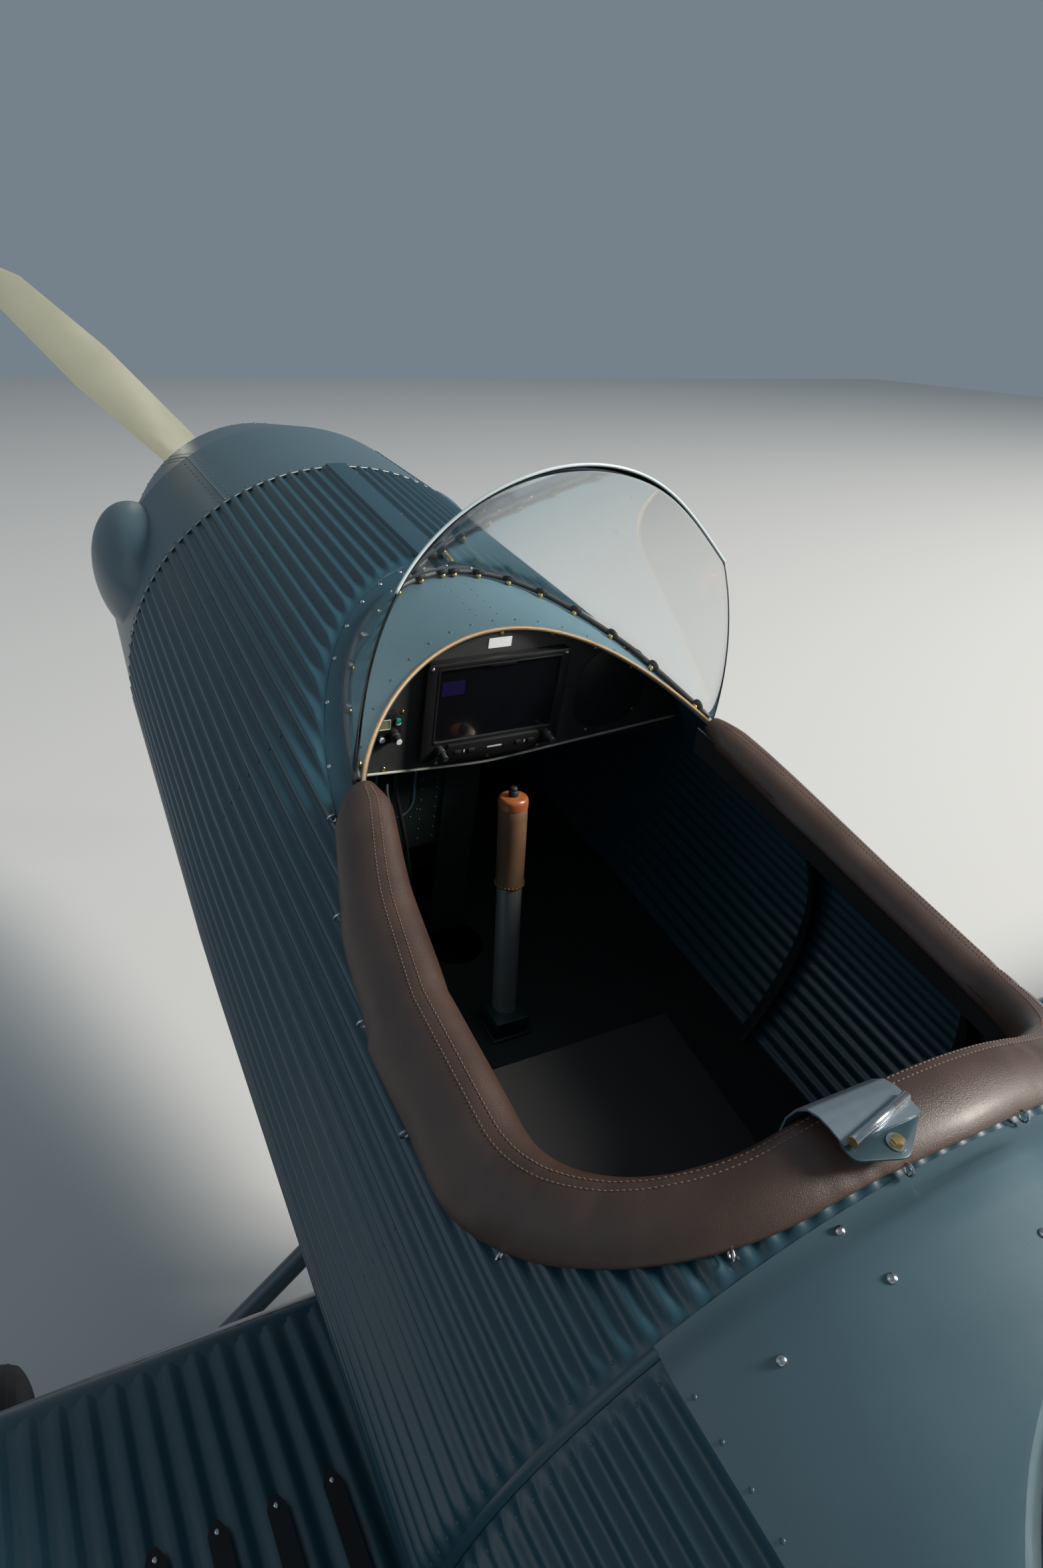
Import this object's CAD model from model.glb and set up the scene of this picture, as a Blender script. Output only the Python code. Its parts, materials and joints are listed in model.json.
# %% [markdown]
# # A light monoplane with a corrugated skin
#
# This lesson dresses a finished set of solids: a small two-seat aeroplane with open cockpits. The
# solids give each piece its place and size. Here they get their skins, rivets, padding and glass.
# Everything is in metres. The aeroplane stands on its tail wheel, nose up, so it helps to model
# level, as in a jig, and to tip every finished piece back onto its wheels.

import json
import math

import bmesh
import bpy
import numpy as np
from mathutils import Matrix, Vector
from mathutils.bvhtree import BVHTree


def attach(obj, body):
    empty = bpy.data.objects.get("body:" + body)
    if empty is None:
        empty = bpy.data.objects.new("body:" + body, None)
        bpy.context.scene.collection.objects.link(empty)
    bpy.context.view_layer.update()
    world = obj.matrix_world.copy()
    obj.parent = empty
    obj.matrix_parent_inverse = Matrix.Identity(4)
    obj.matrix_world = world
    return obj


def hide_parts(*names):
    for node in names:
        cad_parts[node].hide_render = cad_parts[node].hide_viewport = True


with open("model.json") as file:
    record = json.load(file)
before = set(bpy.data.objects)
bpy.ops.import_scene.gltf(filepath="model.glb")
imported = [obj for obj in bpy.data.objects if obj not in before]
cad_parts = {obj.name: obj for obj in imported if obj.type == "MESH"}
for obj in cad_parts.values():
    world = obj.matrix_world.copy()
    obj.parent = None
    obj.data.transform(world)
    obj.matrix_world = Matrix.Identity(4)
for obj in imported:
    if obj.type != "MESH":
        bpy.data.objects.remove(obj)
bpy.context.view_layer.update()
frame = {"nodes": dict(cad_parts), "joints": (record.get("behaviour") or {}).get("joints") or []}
bpy.ops.object.select_all(action="DESELECT")
spin = next(joint for joint in frame["joints"] if joint["name"] == "propeller_spin")
NOSE_UP = math.atan2(spin["axis"][2], spin["axis"][0])
# where the propeller's hub is in the jig
HUB = Vector((1.768, 0.0, -0.330))
tipped = Matrix.Rotation(-NOSE_UP, 4, "Y")
LEVEL = Matrix.Translation(Vector(spin["pos_m"]) - tipped @ HUB) @ tipped
LEVEL_BACK = LEVEL.inverted()
SIDES = ((1, "left"), (-1, "right"))
print("nose up", round(math.degrees(NOSE_UP), 3))
print("origin of the jig", [round(c, 4) for c in LEVEL.translation])


def new_piece(name, data):
    """A mesh, curve, lamp or camera as an object in the scene."""
    piece = bpy.data.objects.new(name, data)
    bpy.context.collection.objects.link(piece)
    return piece


# %% [markdown]
# ## Camera
#
# The picture is taken standing behind the port wing, over the open cockpit. X runs forward from the
# front instrument panel, Y to port and Z up. The three directions of the camera were found from the
# corners of the flight display and the way the corrugations run together.

# %% Camera
CAMERA_AT = Vector((-1.3677, 0.7853, 0.9529))
CAMERA_RIGHT = Vector((-0.45169, -0.88211, 0.13361))
CAMERA_UP = Vector((0.57019, -0.17024, 0.80368))
PICTURE = (1568, 2357)
FOCAL_PIXELS = 1551.2
eye = bpy.data.cameras.new("eye")
eye.sensor_width = 36.0
eye.lens = FOCAL_PIXELS * eye.sensor_width / max(PICTURE)
eye.clip_start = 0.02
camera = new_piece("eye", eye)
axes = Matrix((CAMERA_RIGHT, CAMERA_UP, CAMERA_RIGHT.cross(CAMERA_UP))).transposed().to_4x4()
camera.matrix_world = LEVEL @ Matrix.Translation(CAMERA_AT) @ axes
bpy.context.scene.camera = camera
bpy.context.scene.view_settings.view_transform = "Standard"
print("camera at", [round(c, 3) for c in camera.matrix_world.translation], "lens", round(eye.lens, 2))

# %% [markdown]
# ## Floor and light
#
# A broad pale floor and one large soft lamp from behind and to starboard, where the sun stands in
# the picture. A second, weaker lamp lifts the port side. The lamps are far away and wide, so the
# ridges of the skin get long soft highlights and no hard spots.

# %% Floor and lamps
def plain_material(name, colour, rough, metal=0.0):
    """A shader with its constants set on its own sockets."""
    material = bpy.data.materials.new(name)
    material.use_nodes = True
    shader = material.node_tree.nodes["Principled BSDF"]
    shader.inputs["Base Color"].default_value = (*colour, 1)
    shader.inputs["Roughness"].default_value = rough
    shader.inputs["Metallic"].default_value = metal
    return material


FLOOR_REACH = 60.0
bpy.ops.mesh.primitive_plane_add(size=FLOOR_REACH)
ground = bpy.context.object
ground.name = "floor_of_the_studio"
ground.data.materials.append(plain_material("pale_floor", (0.62, 0.62, 0.61), 0.9))

# name, place, width, power, colour
LAMPS = [
    ("key", (-10.0, -17.0, 15.0), 6.0, 9500, (1.0, 0.95, 0.88)),
    ("fill", (3.0, 11.0, 7.0), 9.0, 110, (0.90, 0.95, 1.0)),
]
for name, place, width, power, colour in LAMPS:
    lamp = bpy.data.lights.new(name, "AREA")
    lamp.size, lamp.energy, lamp.color = width, power, colour
    holder = new_piece(name, lamp)
    holder.location = place
    holder.rotation_euler = (LEVEL.translation - Vector(place)).to_track_quat("-Z", "Y").to_euler()
world = bpy.data.worlds.new("soft_sky")
bpy.context.scene.world = world
world.use_nodes = True
sky = world.node_tree.nodes["Background"]
sky.inputs["Color"].default_value = (0.66, 0.82, 0.96, 1)
sky.inputs["Strength"].default_value = 0.27
print(len(LAMPS), "lamps")

# %% [markdown]
# ## Small tools
#
# Most of this aeroplane is sheet metal: flat stock that was rolled, pressed and bent. So most pieces
# here start as a flat grid whose points are wrapped round the aeroplane by a rule. Long round things
# are a bevelled line. Rivets, screws and stitches are modelled once and copied to many places.

# %% Helpers for names, modifiers and meshes
def hold(piece, name, material):
    """Names a piece and gives it its finish."""
    piece.name = piece.data.name = name
    piece.data.materials.clear()
    piece.data.materials.append(material)
    return piece


def stand(piece, slot, *nodes, body="airframe"):
    """Tips a finished piece back onto the wheels and lets it ride on its body."""
    piece.data.transform(LEVEL)
    piece.data.update()
    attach(piece, body)
    if nodes:
        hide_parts(*nodes)
    print(piece.name, len(piece.data.polygons), "faces, on", body)
    return piece


def only(piece):
    """Selects one piece and nothing else."""
    bpy.ops.object.select_all(action="DESELECT")
    piece.select_set(True)
    bpy.context.view_layer.objects.active = piece


def smooth(piece, degrees=50):
    """Smooth shading with sharp edges where the faces turn by more than the angle."""
    only(piece)
    bpy.ops.object.shade_smooth_by_angle(angle=math.radians(degrees))
    return piece


def modify(piece, kind, **settings):
    """Adds a modifier and applies it."""
    only(piece)
    modifier = piece.modifiers.new(kind.lower(), kind)
    for key, value in settings.items():
        setattr(modifier, key, value)
    bpy.ops.object.modifier_apply(modifier=modifier.name)
    return piece


def tidy_mesh(piece, gap=0.00005):
    """Merges points that lie within the gap and lets the faces point outwards."""
    only(piece)
    bpy.ops.object.mode_set(mode="EDIT")
    bpy.ops.mesh.select_all(action="SELECT")
    if gap:
        bpy.ops.mesh.remove_doubles(threshold=gap)
    bpy.ops.mesh.normals_make_consistent(inside=False)
    bpy.ops.object.mode_set(mode="OBJECT")
    return piece


def join(pieces, name, material):
    """Several meshes as one piece."""
    only(pieces[0])
    for piece in pieces[1:]:
        piece.select_set(True)
    if len(pieces) > 1:
        bpy.ops.object.join()
    return hold(bpy.context.object, name, material)


def points_of(piece):
    """The points of a mesh, one in a row."""
    flat = np.empty(3 * len(piece.data.vertices))
    piece.data.vertices.foreach_get("co", flat)
    return flat.reshape(-1, 3)


def from_faces(name, points, faces):
    """A mesh from its points and faces."""
    mesh = bpy.data.meshes.new(name)
    mesh.from_pydata(points, [], faces)
    return new_piece(name, mesh)


def rows_of(*columns):
    """Points from their coordinates, one point in a row."""
    return np.stack(np.broadcast_arrays(*columns), -1)


def unit(rows):
    """Directions made one long."""
    return rows / np.linalg.norm(rows, axis=-1, keepdims=True)


def soft_step(value):
    """0 below 0, 1 above 1, and a soft rise between."""
    share = np.clip(value, 0, 1)
    return share * share * (3 - 2 * share)


# %% Helpers for sheets, rods and many small things
def grid(across, along, wrap):
    """A flat grid whose points go where wrap(u, v) puts them, each from 0 to 1."""
    bpy.ops.mesh.primitive_grid_add(x_subdivisions=across, y_subdivisions=along, size=1)
    piece = bpy.context.object
    u, v, _ = points_of(piece).T + 0.5
    piece.data.vertices.foreach_set("co", rows_of(*wrap(u, v)).ravel())
    piece.data.update()
    return piece


def rod(name, points, radius, material, sides=4):
    """A round bar along a line through the points."""
    line = bpy.data.curves.new(name, "CURVE")
    line.dimensions, line.bevel_resolution, line.resolution_u = "3D", sides, 6
    line.bevel_depth, line.use_fill_caps = radius, True
    spline = line.splines.new("POLY")
    spline.points.add(len(points) - 1)
    for point, place in zip(spline.points, points):
        point.co = (*place, 1)
    piece = new_piece(name, line)
    only(piece)
    bpy.ops.object.convert(target="MESH")
    return tidy_mesh(smooth(hold(piece, name, material)))


def copies(name, master, places, normals, material, sizes=1.0, leads=None):
    """One mesh with the master at each place, its Z along the normal there; the master goes."""
    shape = points_of(master)
    places = np.asarray(places, float)
    normals = unit(np.broadcast_to(np.asarray(normals, float), places.shape))
    if leads is None:
        leads = np.where(np.abs(normals[:, :1]) > 0.9, [[0, 1, 0]], [[1, 0, 0]])
    side = unit(np.cross(normals, leads))
    turn = np.stack([np.cross(side, normals), side, normals], 1)
    turn = turn * np.broadcast_to(sizes, len(places))[:, None, None]
    points = (shape[None] @ turn + places[:, None]).reshape(-1, 3)
    faces = [tuple(face.vertices) for face in master.data.polygons]
    starts = range(0, len(points), len(shape))
    every = [tuple(start + index for index in face) for start in starts for face in faces]
    bpy.data.objects.remove(master)
    return smooth(hold(from_faces(name, points.tolist(), every), name, material), 40)


def dome(radius, high, around=10):
    """The head of a rivet, standing on its plane."""
    bpy.ops.mesh.primitive_uv_sphere_add(segments=around, ring_count=6, radius=radius)
    head = bpy.context.object
    bpy.ops.object.mode_set(mode="EDIT")
    bpy.ops.mesh.bisect(plane_co=(0, 0, -radius * 0.05), plane_no=(0, 0, 1), clear_inner=True)
    bpy.ops.object.mode_set(mode="OBJECT")
    head.data.transform(Matrix.Diagonal((1, 1, high / radius, 1)))
    return head


def stitch(long, thick):
    """One stitch, lying along X."""
    bpy.ops.mesh.primitive_uv_sphere_add(segments=6, ring_count=4, radius=1)
    bpy.context.object.data.transform(Matrix.Diagonal((long, thick, thick, 1)))
    return bpy.context.object


def ring(radius, wire, around):
    """A plain ring round Z."""
    bpy.ops.mesh.primitive_torus_add(
        major_radius=radius, minor_radius=wire, major_segments=around, minor_segments=8
    )
    return bpy.context.object


# %% [markdown]
# ## Paint, metal and leather
#
# The skin has one satin paint, petrol blue, with a faint orange peel and a little dust in it. Screws
# and rings are metal. The padding is brown leather with a fine grain. Each finish is one shader
# whose roughness and bump come from noise in the aeroplane's own coordinates.

# %% Finishes
def add_node(material, kind, **values):
    """A new shader node with its constants set."""
    node = material.node_tree.nodes.new("ShaderNode" + kind)
    for key, value in values.items():
        node.inputs[key.replace("_", " ")].default_value = value
    return node


def wire(material, *pairs):
    """Joins the nodes of a material, each pair from an output to an input."""
    for source, target in pairs:
        material.node_tree.links.new(source, target)


def finish(
    name, colour, rough, metal=0.0, vary=0.10, scale=9.0, bump=0.0, bump_scale=400.0, coat=0.0, tint=None
):
    """A procedural finish: cloudy colour, cloudy roughness and a fine bump."""
    material = plain_material(name, colour, rough, metal)
    shader = material.node_tree.nodes["Principled BSDF"]
    shader.inputs["Coat Weight"].default_value = coat
    shader.inputs["Coat Roughness"].default_value = 0.25
    where = add_node(material, "TexCoord")
    cloud = add_node(material, "TexNoise", Scale=scale, Detail=6)
    blend = add_node(material, "Mix")
    blend.data_type = "RGBA"
    dark = [c * (1 - vary) for c in colour]
    light = tint or [min(1, c * (1 + vary)) for c in colour]
    blend.inputs[6].default_value, blend.inputs[7].default_value = (*dark, 1), (*light, 1)
    shine = add_node(material, "MapRange", To_Min=max(0.02, rough - 0.08), To_Max=min(1.0, rough + 0.08))
    wire(
        material,
        (where.outputs["Object"], cloud.inputs["Vector"]),
        (cloud.outputs["Fac"], blend.inputs[0]),
        (blend.outputs[2], shader.inputs["Base Color"]),
        (cloud.outputs["Fac"], shine.inputs["Value"]),
        (shine.outputs["Result"], shader.inputs["Roughness"]),
    )
    if bump:
        fine = add_node(material, "TexNoise", Scale=bump_scale, Detail=3)
        grain = add_node(material, "Bump", Strength=bump, Distance=0.001)
        wire(
            material,
            (where.outputs["Object"], fine.inputs["Vector"]),
            (fine.outputs["Fac"], grain.inputs["Height"]),
            (grain.outputs["Normal"], shader.inputs["Normal"]),
        )
    return material


PETROL = (0.014, 0.054, 0.078)
BLUE_GREY = (0.064, 0.116, 0.144)
skin_paint = finish("corrugated_petrol", PETROL, 0.36, vary=0.12, bump=0.05, bump_scale=600, coat=0.25)
deck_paint = finish("smooth_blue_grey", BLUE_GREY, 0.40, vary=0.10, bump=0.06, bump_scale=600, coat=0.2)
rivet_paint = finish("painted_rivets", (0.035, 0.085, 0.115), 0.34, vary=0.08)
steel = finish("screw_steel", (0.55, 0.56, 0.58), 0.24, metal=1.0, vary=0.06, scale=200)
brass = finish("brass_screws", (0.62, 0.45, 0.18), 0.27, metal=1.0, vary=0.12, scale=200)
black_rubber = finish("black_rubber", (0.012, 0.012, 0.013), 0.55, vary=0.2, bump=0.2, bump_scale=300)
print("finishes", len(bpy.data.materials))

# %% [markdown]
# ## Corrugated skin
#
# The body is covered with thin sheet that was rolled into even ridges running fore and aft. A ridge
# could be a bump in the paint, but it shows in every outline and every cut edge, so it has to be
# real. Each sheet is a fine grid wrapped round the sections of the body. Where a sheet ends, its
# ridges are pressed flat so that it can be riveted down.

# %% Sections of the body
# station, half width, widest height, top, half keel, keel
BODY = np.array([
    (0.858, 0.488, -0.377, 0.111, 0.210, -0.820),
    (0.000, 0.525, -0.377, 0.148, 0.240, -0.865),
    (-1.070, 0.545, -0.377, 0.125, 0.250, -0.870),
    (-2.560, 0.440, -0.345, 0.105, 0.190, -0.775),
    (-4.890, 0.045, -0.060, 0.058, 0.022, -0.190),
])
# the same for the smooth cowl
COWL = np.array([
    (1.690, 0.205, -0.335, -0.135, 0.090, -0.545),
    (1.560, 0.350, -0.350, -0.020, 0.150, -0.690),
    (1.250, 0.462, -0.370, 0.074, 0.190, -0.790),
    (0.858, 0.488, -0.377, 0.111, 0.210, -0.820),
])
CHINE_OUT, CHINE_DOWN = 0.84, 0.60
# a little more than the metres across the top of the body for one turn
STEP_WIDE = 0.85
FIREWALL, MID_SEAM, REAR_SEAM, TAIL_END = BODY[(0, 2, 3, 4), 0]


def circle_through(a, b, c):
    """Centre of the circle through three points."""
    (ax, ay), (bx, by), (cx, cy) = a, b, c
    double = 2 * (ax * (by - cy) + bx * (cy - ay) + cx * (ay - by))
    squares = [p[0] ** 2 + p[1] ** 2 for p in (a, b, c)]
    x = (squares[0] * (by - cy) + squares[1] * (cy - ay) + squares[2] * (ay - by)) / double
    y = (squares[0] * (cx - bx) + squares[1] * (ax - cx) + squares[2] * (bx - ax)) / double
    return np.array((x, y))


def section(row, turn):
    """A section of the body: turn is 0 at the top, 1 at the side, 2 at the chine, 3 at the keel."""
    _, side, mid, top, keel_half, keel = row
    part = np.abs(turn)
    widest, chine = (side, mid), (side * CHINE_OUT, mid + (keel - mid) * CHINE_DOWN)
    crown = circle_through(widest, (0, top), (-side, mid))
    lower = circle_through(widest, chine, (keel_half, keel))
    crown_end = math.atan2(mid - crown[1], side - crown[0])
    lower_ends = [math.atan2(z - lower[1], y - lower[0]) for y, z in (widest, (keel_half, keel))]
    over = math.pi / 2 + (crown_end - math.pi / 2) * part
    under = lower_ends[0] + (lower_ends[1] - lower_ends[0]) * (part - 1)
    crown_r, lower_r = top - crown[1], math.hypot(side - lower[0], mid - lower[1])
    where = [part <= 1, part <= 2]
    y = np.select(where, [crown_r * np.cos(over), lower[0] + lower_r * np.cos(under)], keel_half * (3 - part))
    z = np.select(where, [crown[1] + crown_r * np.sin(over), lower[1] + lower_r * np.sin(under)], keel)
    return np.array((np.sign(turn) * y, z))


def body_point(x, turn, lift=0.0, rows=BODY):
    """A point on the body at a station, so far round it, and lifted off its surface."""
    x, turn = np.broadcast_arrays(np.asarray(x, float), np.asarray(turn, float))
    above = np.clip(np.searchsorted(-rows[:, 0], -x) - 1, 0, len(rows) - 2)
    part = (rows[above, 0] - x) / (rows[above, 0] - rows[above + 1, 0])

    def plain(turn):
        shapes = np.array([section(row, turn) for row in rows])
        fore = np.take_along_axis(shapes, above[None, None], 0)[0]
        aft = np.take_along_axis(shapes, (above + 1)[None, None], 0)[0]
        return fore * (1 - part) + aft * part

    nudge = 1e-3
    y, z = plain(turn)
    along = plain(turn + nudge) - plain(turn - nudge)
    along /= np.linalg.norm(along, axis=0)
    return x, y - along[1] * lift, z + along[0] * lift


def turn_at(x, out, rows=BODY):
    """How far round the top of the body lies so far out from the middle, found step by step."""
    turn = np.full(np.shape(out), 0.4)
    for _ in range(12):
        turn = turn + (out - body_point(x, turn, rows=rows)[1]) / STEP_WIDE
    return turn


print("half width at the front panel", round(float(body_point(0.0, 1.0)[1]), 3))

# %% Cockpit openings and the flange round the windscreen
COCKPITS = {"front": 0.0, "rear": -1.5}
RIM_NOSE, RIM_END, RIM_HALF = -0.002, -0.232, 0.329
SIDE_MID, SIDE_END, SIDE_HALF = -0.590, -0.790, 0.370
BACK_HALF, BACK_R = 0.175, 0.195
RIM_R = (RIM_HALF**2 + (RIM_NOSE - RIM_END) ** 2) / (2 * (RIM_NOSE - RIM_END))
FLANGE_MID, FLANGE_LONG, FLANGE_HALF = -0.400, 0.705, 0.380
# the line on the deck that a windscreen stands on
SCREEN_MID, SCREEN_LONG, SCREEN_HALF = -0.400, 0.640, 0.3445


def opening_front(out):
    """Station of the front edge of an opening, counted from its panel."""
    out = np.abs(out)
    rim = RIM_NOSE - RIM_R + np.sqrt(np.maximum(RIM_R**2 - out**2, 0))
    side = RIM_END - (out - RIM_HALF) / (SIDE_HALF - RIM_HALF) * (RIM_END - SIDE_MID)
    return np.where(out <= RIM_HALF, rim, side)


def opening_back(out):
    """Station of the rear edge of an opening, counted from its panel."""
    return SIDE_END - np.sqrt(np.maximum(BACK_R**2 - np.maximum(np.abs(out) - BACK_HALF, 0) ** 2, 0))


def oval(out, middle, long, half):
    """Station of the front of an oval on the deck."""
    share = np.minimum(np.abs(out) / half, 1)
    return middle + long * np.sqrt(1 - share**2)


def flange_edge(out):
    """Station of the edge of the flange that the windscreen stands on."""
    return oval(out, FLANGE_MID, FLANGE_LONG, FLANGE_HALF)


def screen_foot(out):
    """Station of the foot of a windscreen, counted from its panel."""
    return oval(out, SCREEN_MID, SCREEN_LONG, SCREEN_HALF)


def station(x):
    """The same station for every turn."""
    return lambda turn: np.full(np.shape(turn), x)


def crossing(edge, panel, start):
    """The station where a line at a fixed turn crosses an edge that is given by its half width."""
    def find(turn):
        x = np.full(np.shape(turn), start + panel)
        for _ in range(8):
            x = panel + edge(body_point(x, turn)[1])
        return x

    return find


# %% A sheet with ridges
# ridges from the top to the side, to the chine and to the keel
RIDGES = (28, 20, 8)
COLUMNS, ROWS, SMOOTH_COLUMNS, TAIL_ROWS = 8, 22, 48, 26
CREST, GROOVE, TAIL_GROOVE = 0.0035, -0.0050, 0.0013
# distances from the end of a sheet over which its ridges are pressed flat
PRESSED = np.array((0, 0.005, 0.011, 0.018, 0.027, 0.038))
SHORT_SHEET = 0.12
SKIN_SHEET, PLATE_SHEET = 0.0010, 0.0012


def ridge_number(turn):
    """Ridges counted from the top of the body."""
    part = np.abs(turn)
    return np.sign(turn) * sum(count * np.clip(part - k, 0, 1) for k, count in enumerate(RIDGES))


def step_along(v, rows, start, stop):
    """Stations down each column, close together near its two ends, and the distance to each end."""
    step = np.rint(v * rows).astype(int)
    long = start - stop
    near = PRESSED[-1] * np.minimum(1, long / SHORT_SHEET)
    count = len(PRESSED) - 1
    down = near + (long - 2 * near) * (step - count) / (rows - 2 * count)
    down = np.where(step < count, PRESSED[np.minimum(step, count)] / PRESSED[-1] * near, down)
    back = rows - step
    down = np.where(back < count, long - PRESSED[np.minimum(back, count)] / PRESSED[-1] * near, down)
    return start - down, down, long - down


def pressed(distance, length=0.034):
    """0 at the end of a sheet, 1 where its ridges are full."""
    return soft_step(distance / length)


def crests(number):
    """1 on the crest of each ridge and 0 in the grooves."""
    return 0.5 + 0.5 * np.cos(2 * math.pi * number)


def ridged(turns, fore, aft, flat_fore=True, flat_aft=True, rows=ROWS):
    """A ridged sheet between two turns; fore and aft give the station of its edges for a turn."""
    first, last = ridge_number(np.array(turns, float))
    across = max(2, int(round(abs(last - first) * COLUMNS)))
    steps = np.linspace(0, 1, across + 1)
    table = np.linspace(-3, 3, 6001)

    def wrap(u, v):
        number = np.interp(u, steps, np.linspace(first, last, across + 1))
        turn = np.interp(number, ridge_number(table), table)
        x, from_fore, from_aft = step_along(v, rows, fore(turn), aft(turn))
        full = np.where(flat_fore, pressed(from_fore), 1) * np.where(flat_aft, pressed(from_aft), 1)
        return body_point(x, turn, GROOVE + (CREST - GROOVE) * crests(number) * full)

    return grid(across, rows, wrap)


def sheet_metal(sheets, name, material, slot, *nodes, thick=PLATE_SHEET, gap=0.0, degrees=40):
    """Joins sheets within the gap, thickens them inwards and lets them ride on the body."""
    piece = join(sheets, name, material)
    if gap:
        tidy_mesh(piece, gap)
    modify(piece, "SOLIDIFY", thickness=thick, offset=-1)
    return stand(smooth(piece, degrees), slot, *nodes)


def skin(sheets, name, *nodes):
    """A part of the ridged skin from its sheets."""
    return sheet_metal(
        sheets, name, skin_paint, "corrugated_skin", *nodes, thick=SKIN_SHEET, gap=0.0002, degrees=60
    )


# the smooth deck reaches 14 ridges out at the windscreen and 13 behind the front cockpit
EDGE, DECK_EDGE = 14 / RIDGES[0], 13 / RIDGES[0]
skin([
    ridged((-EDGE, EDGE), station(FIREWALL), crossing(flange_edge, 0, 0.1), flat_fore=False),
    ridged((-EDGE, EDGE), crossing(opening_back, 0, -0.9), station(MID_SEAM), flat_fore=False, rows=14),
    ridged((EDGE, 3), station(FIREWALL), station(MID_SEAM), flat_fore=False),
    ridged((-3, -EDGE), station(FIREWALL), station(MID_SEAM), flat_fore=False),
], "skin_front", "body_front")

# %% Skin of the middle body
OPEN_MID = COCKPITS["rear"] + (SIDE_MID + SIDE_END) / 2


def rear_edge(edge, start, further):
    """An edge of the rear opening, or the middle of it where the skin passes the opening by."""
    find = crossing(edge, COCKPITS["rear"], start)

    def at(turn):
        out = np.abs(body_point(OPEN_MID, turn)[1])
        return np.where(out < SIDE_HALF, further(find(turn), OPEN_MID), OPEN_MID)

    return at


rear_front = rear_edge(opening_front, -0.4, np.maximum)
rear_back = rear_edge(opening_back, -0.9, np.minimum)
sheets = []
for turns in ((DECK_EDGE, 3), (-3, -DECK_EDGE)):
    sheets.append(ridged(turns, station(MID_SEAM), rear_front, flat_aft=False))
    sheets.append(ridged(turns, rear_back, station(REAR_SEAM), flat_fore=False))
skin(sheets, "skin_middle", "body_mid")

# %% Skin of the tail cone
PITCH = 0.0247


def tail_part(side, start_turn, last_turn, length_fore, length_aft):
    """A sheet whose ridges keep their width, so that they run out one by one along its far edge."""
    across = int(round(length_fore / PITCH)) * COLUMNS

    def wrap(u, v):
        away = u * length_fore
        run_out = np.clip((length_fore - away) / (length_fore - length_aft), 0.01, 1)
        stop = REAR_SEAM + (TAIL_END - REAR_SEAM) * run_out
        x, from_fore, from_aft = step_along(v, TAIL_ROWS, np.full(u.shape, REAR_SEAM), stop)
        long = length_fore + (length_aft - length_fore) * (REAR_SEAM - x) / (REAR_SEAM - TAIL_END)
        turn = start_turn + (last_turn - start_turn) * np.clip(away / long, 0, 1)
        full = pressed(from_fore) * pressed(from_aft)
        return body_point(x, side * turn, TAIL_GROOVE + (CREST - GROOVE) * crests(away / PITCH) * full)

    return grid(across, TAIL_ROWS, wrap)


def arc_long(row, first, last):
    """Length of a section between two turns."""
    y, z = section(row, np.linspace(first, last, 200))
    return float(np.sum(np.hypot(np.diff(y), np.diff(z))))


sheets = []
for side, _ in SIDES:
    for first, last in ((1, 0), (1, 2), (3, 2)):
        fore, aft = [arc_long(row, first, last) for row in BODY[3:]]
        sheets.append(tail_part(side, first, last, round(fore / PITCH) * PITCH, aft))
skin(sheets, "skin_tail")

# %% [markdown]
# ## Smooth deck plates
#
# Round each windscreen and behind the front cockpit the deck is plain sheet. It lies level with the
# grooves at the windscreen, so that the pressed ends of the ridges rest on it, and on top of the
# ridges behind the cockpit. Each plate is again a sheet wrapped round the body, without ridges.

# %% Flange, scuttle and rear deck plates
UNDERLAP = 0.030
FLANGE_LIFT, SCUTTLE_LIFT, DECK_LIFT = -0.0062, -0.0045, 0.0048
# the scuttle runs as far out as the windscreen's ends
SCUTTLE_EDGE = 0.43
# the soft fold across the deck behind the front cockpit: along the body, its width, and across it
FOLD_HIGH, FOLD_AT, FOLD_BACK, FOLD_END = 0.009, MID_SEAM - 0.010, 0.06, -1.38
FOLD_SHARP, FOLD_SOFT, FOLD_SOFT_AT = 0.010, 0.060, 0.26
FOLD_START, FOLD_RISES, FOLD_FADES, FOLD_GONE = -0.060, 0.040, 0.19, 0.12
DECK_FRONT, DECK_LOW, DECK_RISES = MID_SEAM + 0.006, -0.0035, 0.040


def plate(name, edge, fore, aft, lift, material, slot, *nodes):
    """A smooth sheet on the body; its lift is a length or a function of station and turn."""
    def wrap(u, v):
        turn = edge * (2 * u - 1)
        x, _, _ = step_along(v, ROWS, fore(turn), aft(turn))
        return body_point(x, turn, lift(x, turn) if callable(lift) else lift)

    return sheet_metal([grid(SMOOTH_COLUMNS, ROWS, wrap)], name, material, slot, *nodes, gap=0.0001)


def flange_front(turn):
    """The flange reaches under the pressed ends of the ridges."""
    under = UNDERLAP * np.sqrt(np.maximum(1 - (turn / EDGE) ** 2, 0))
    return crossing(flange_edge, 0, 0.1)(turn) + under


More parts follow.
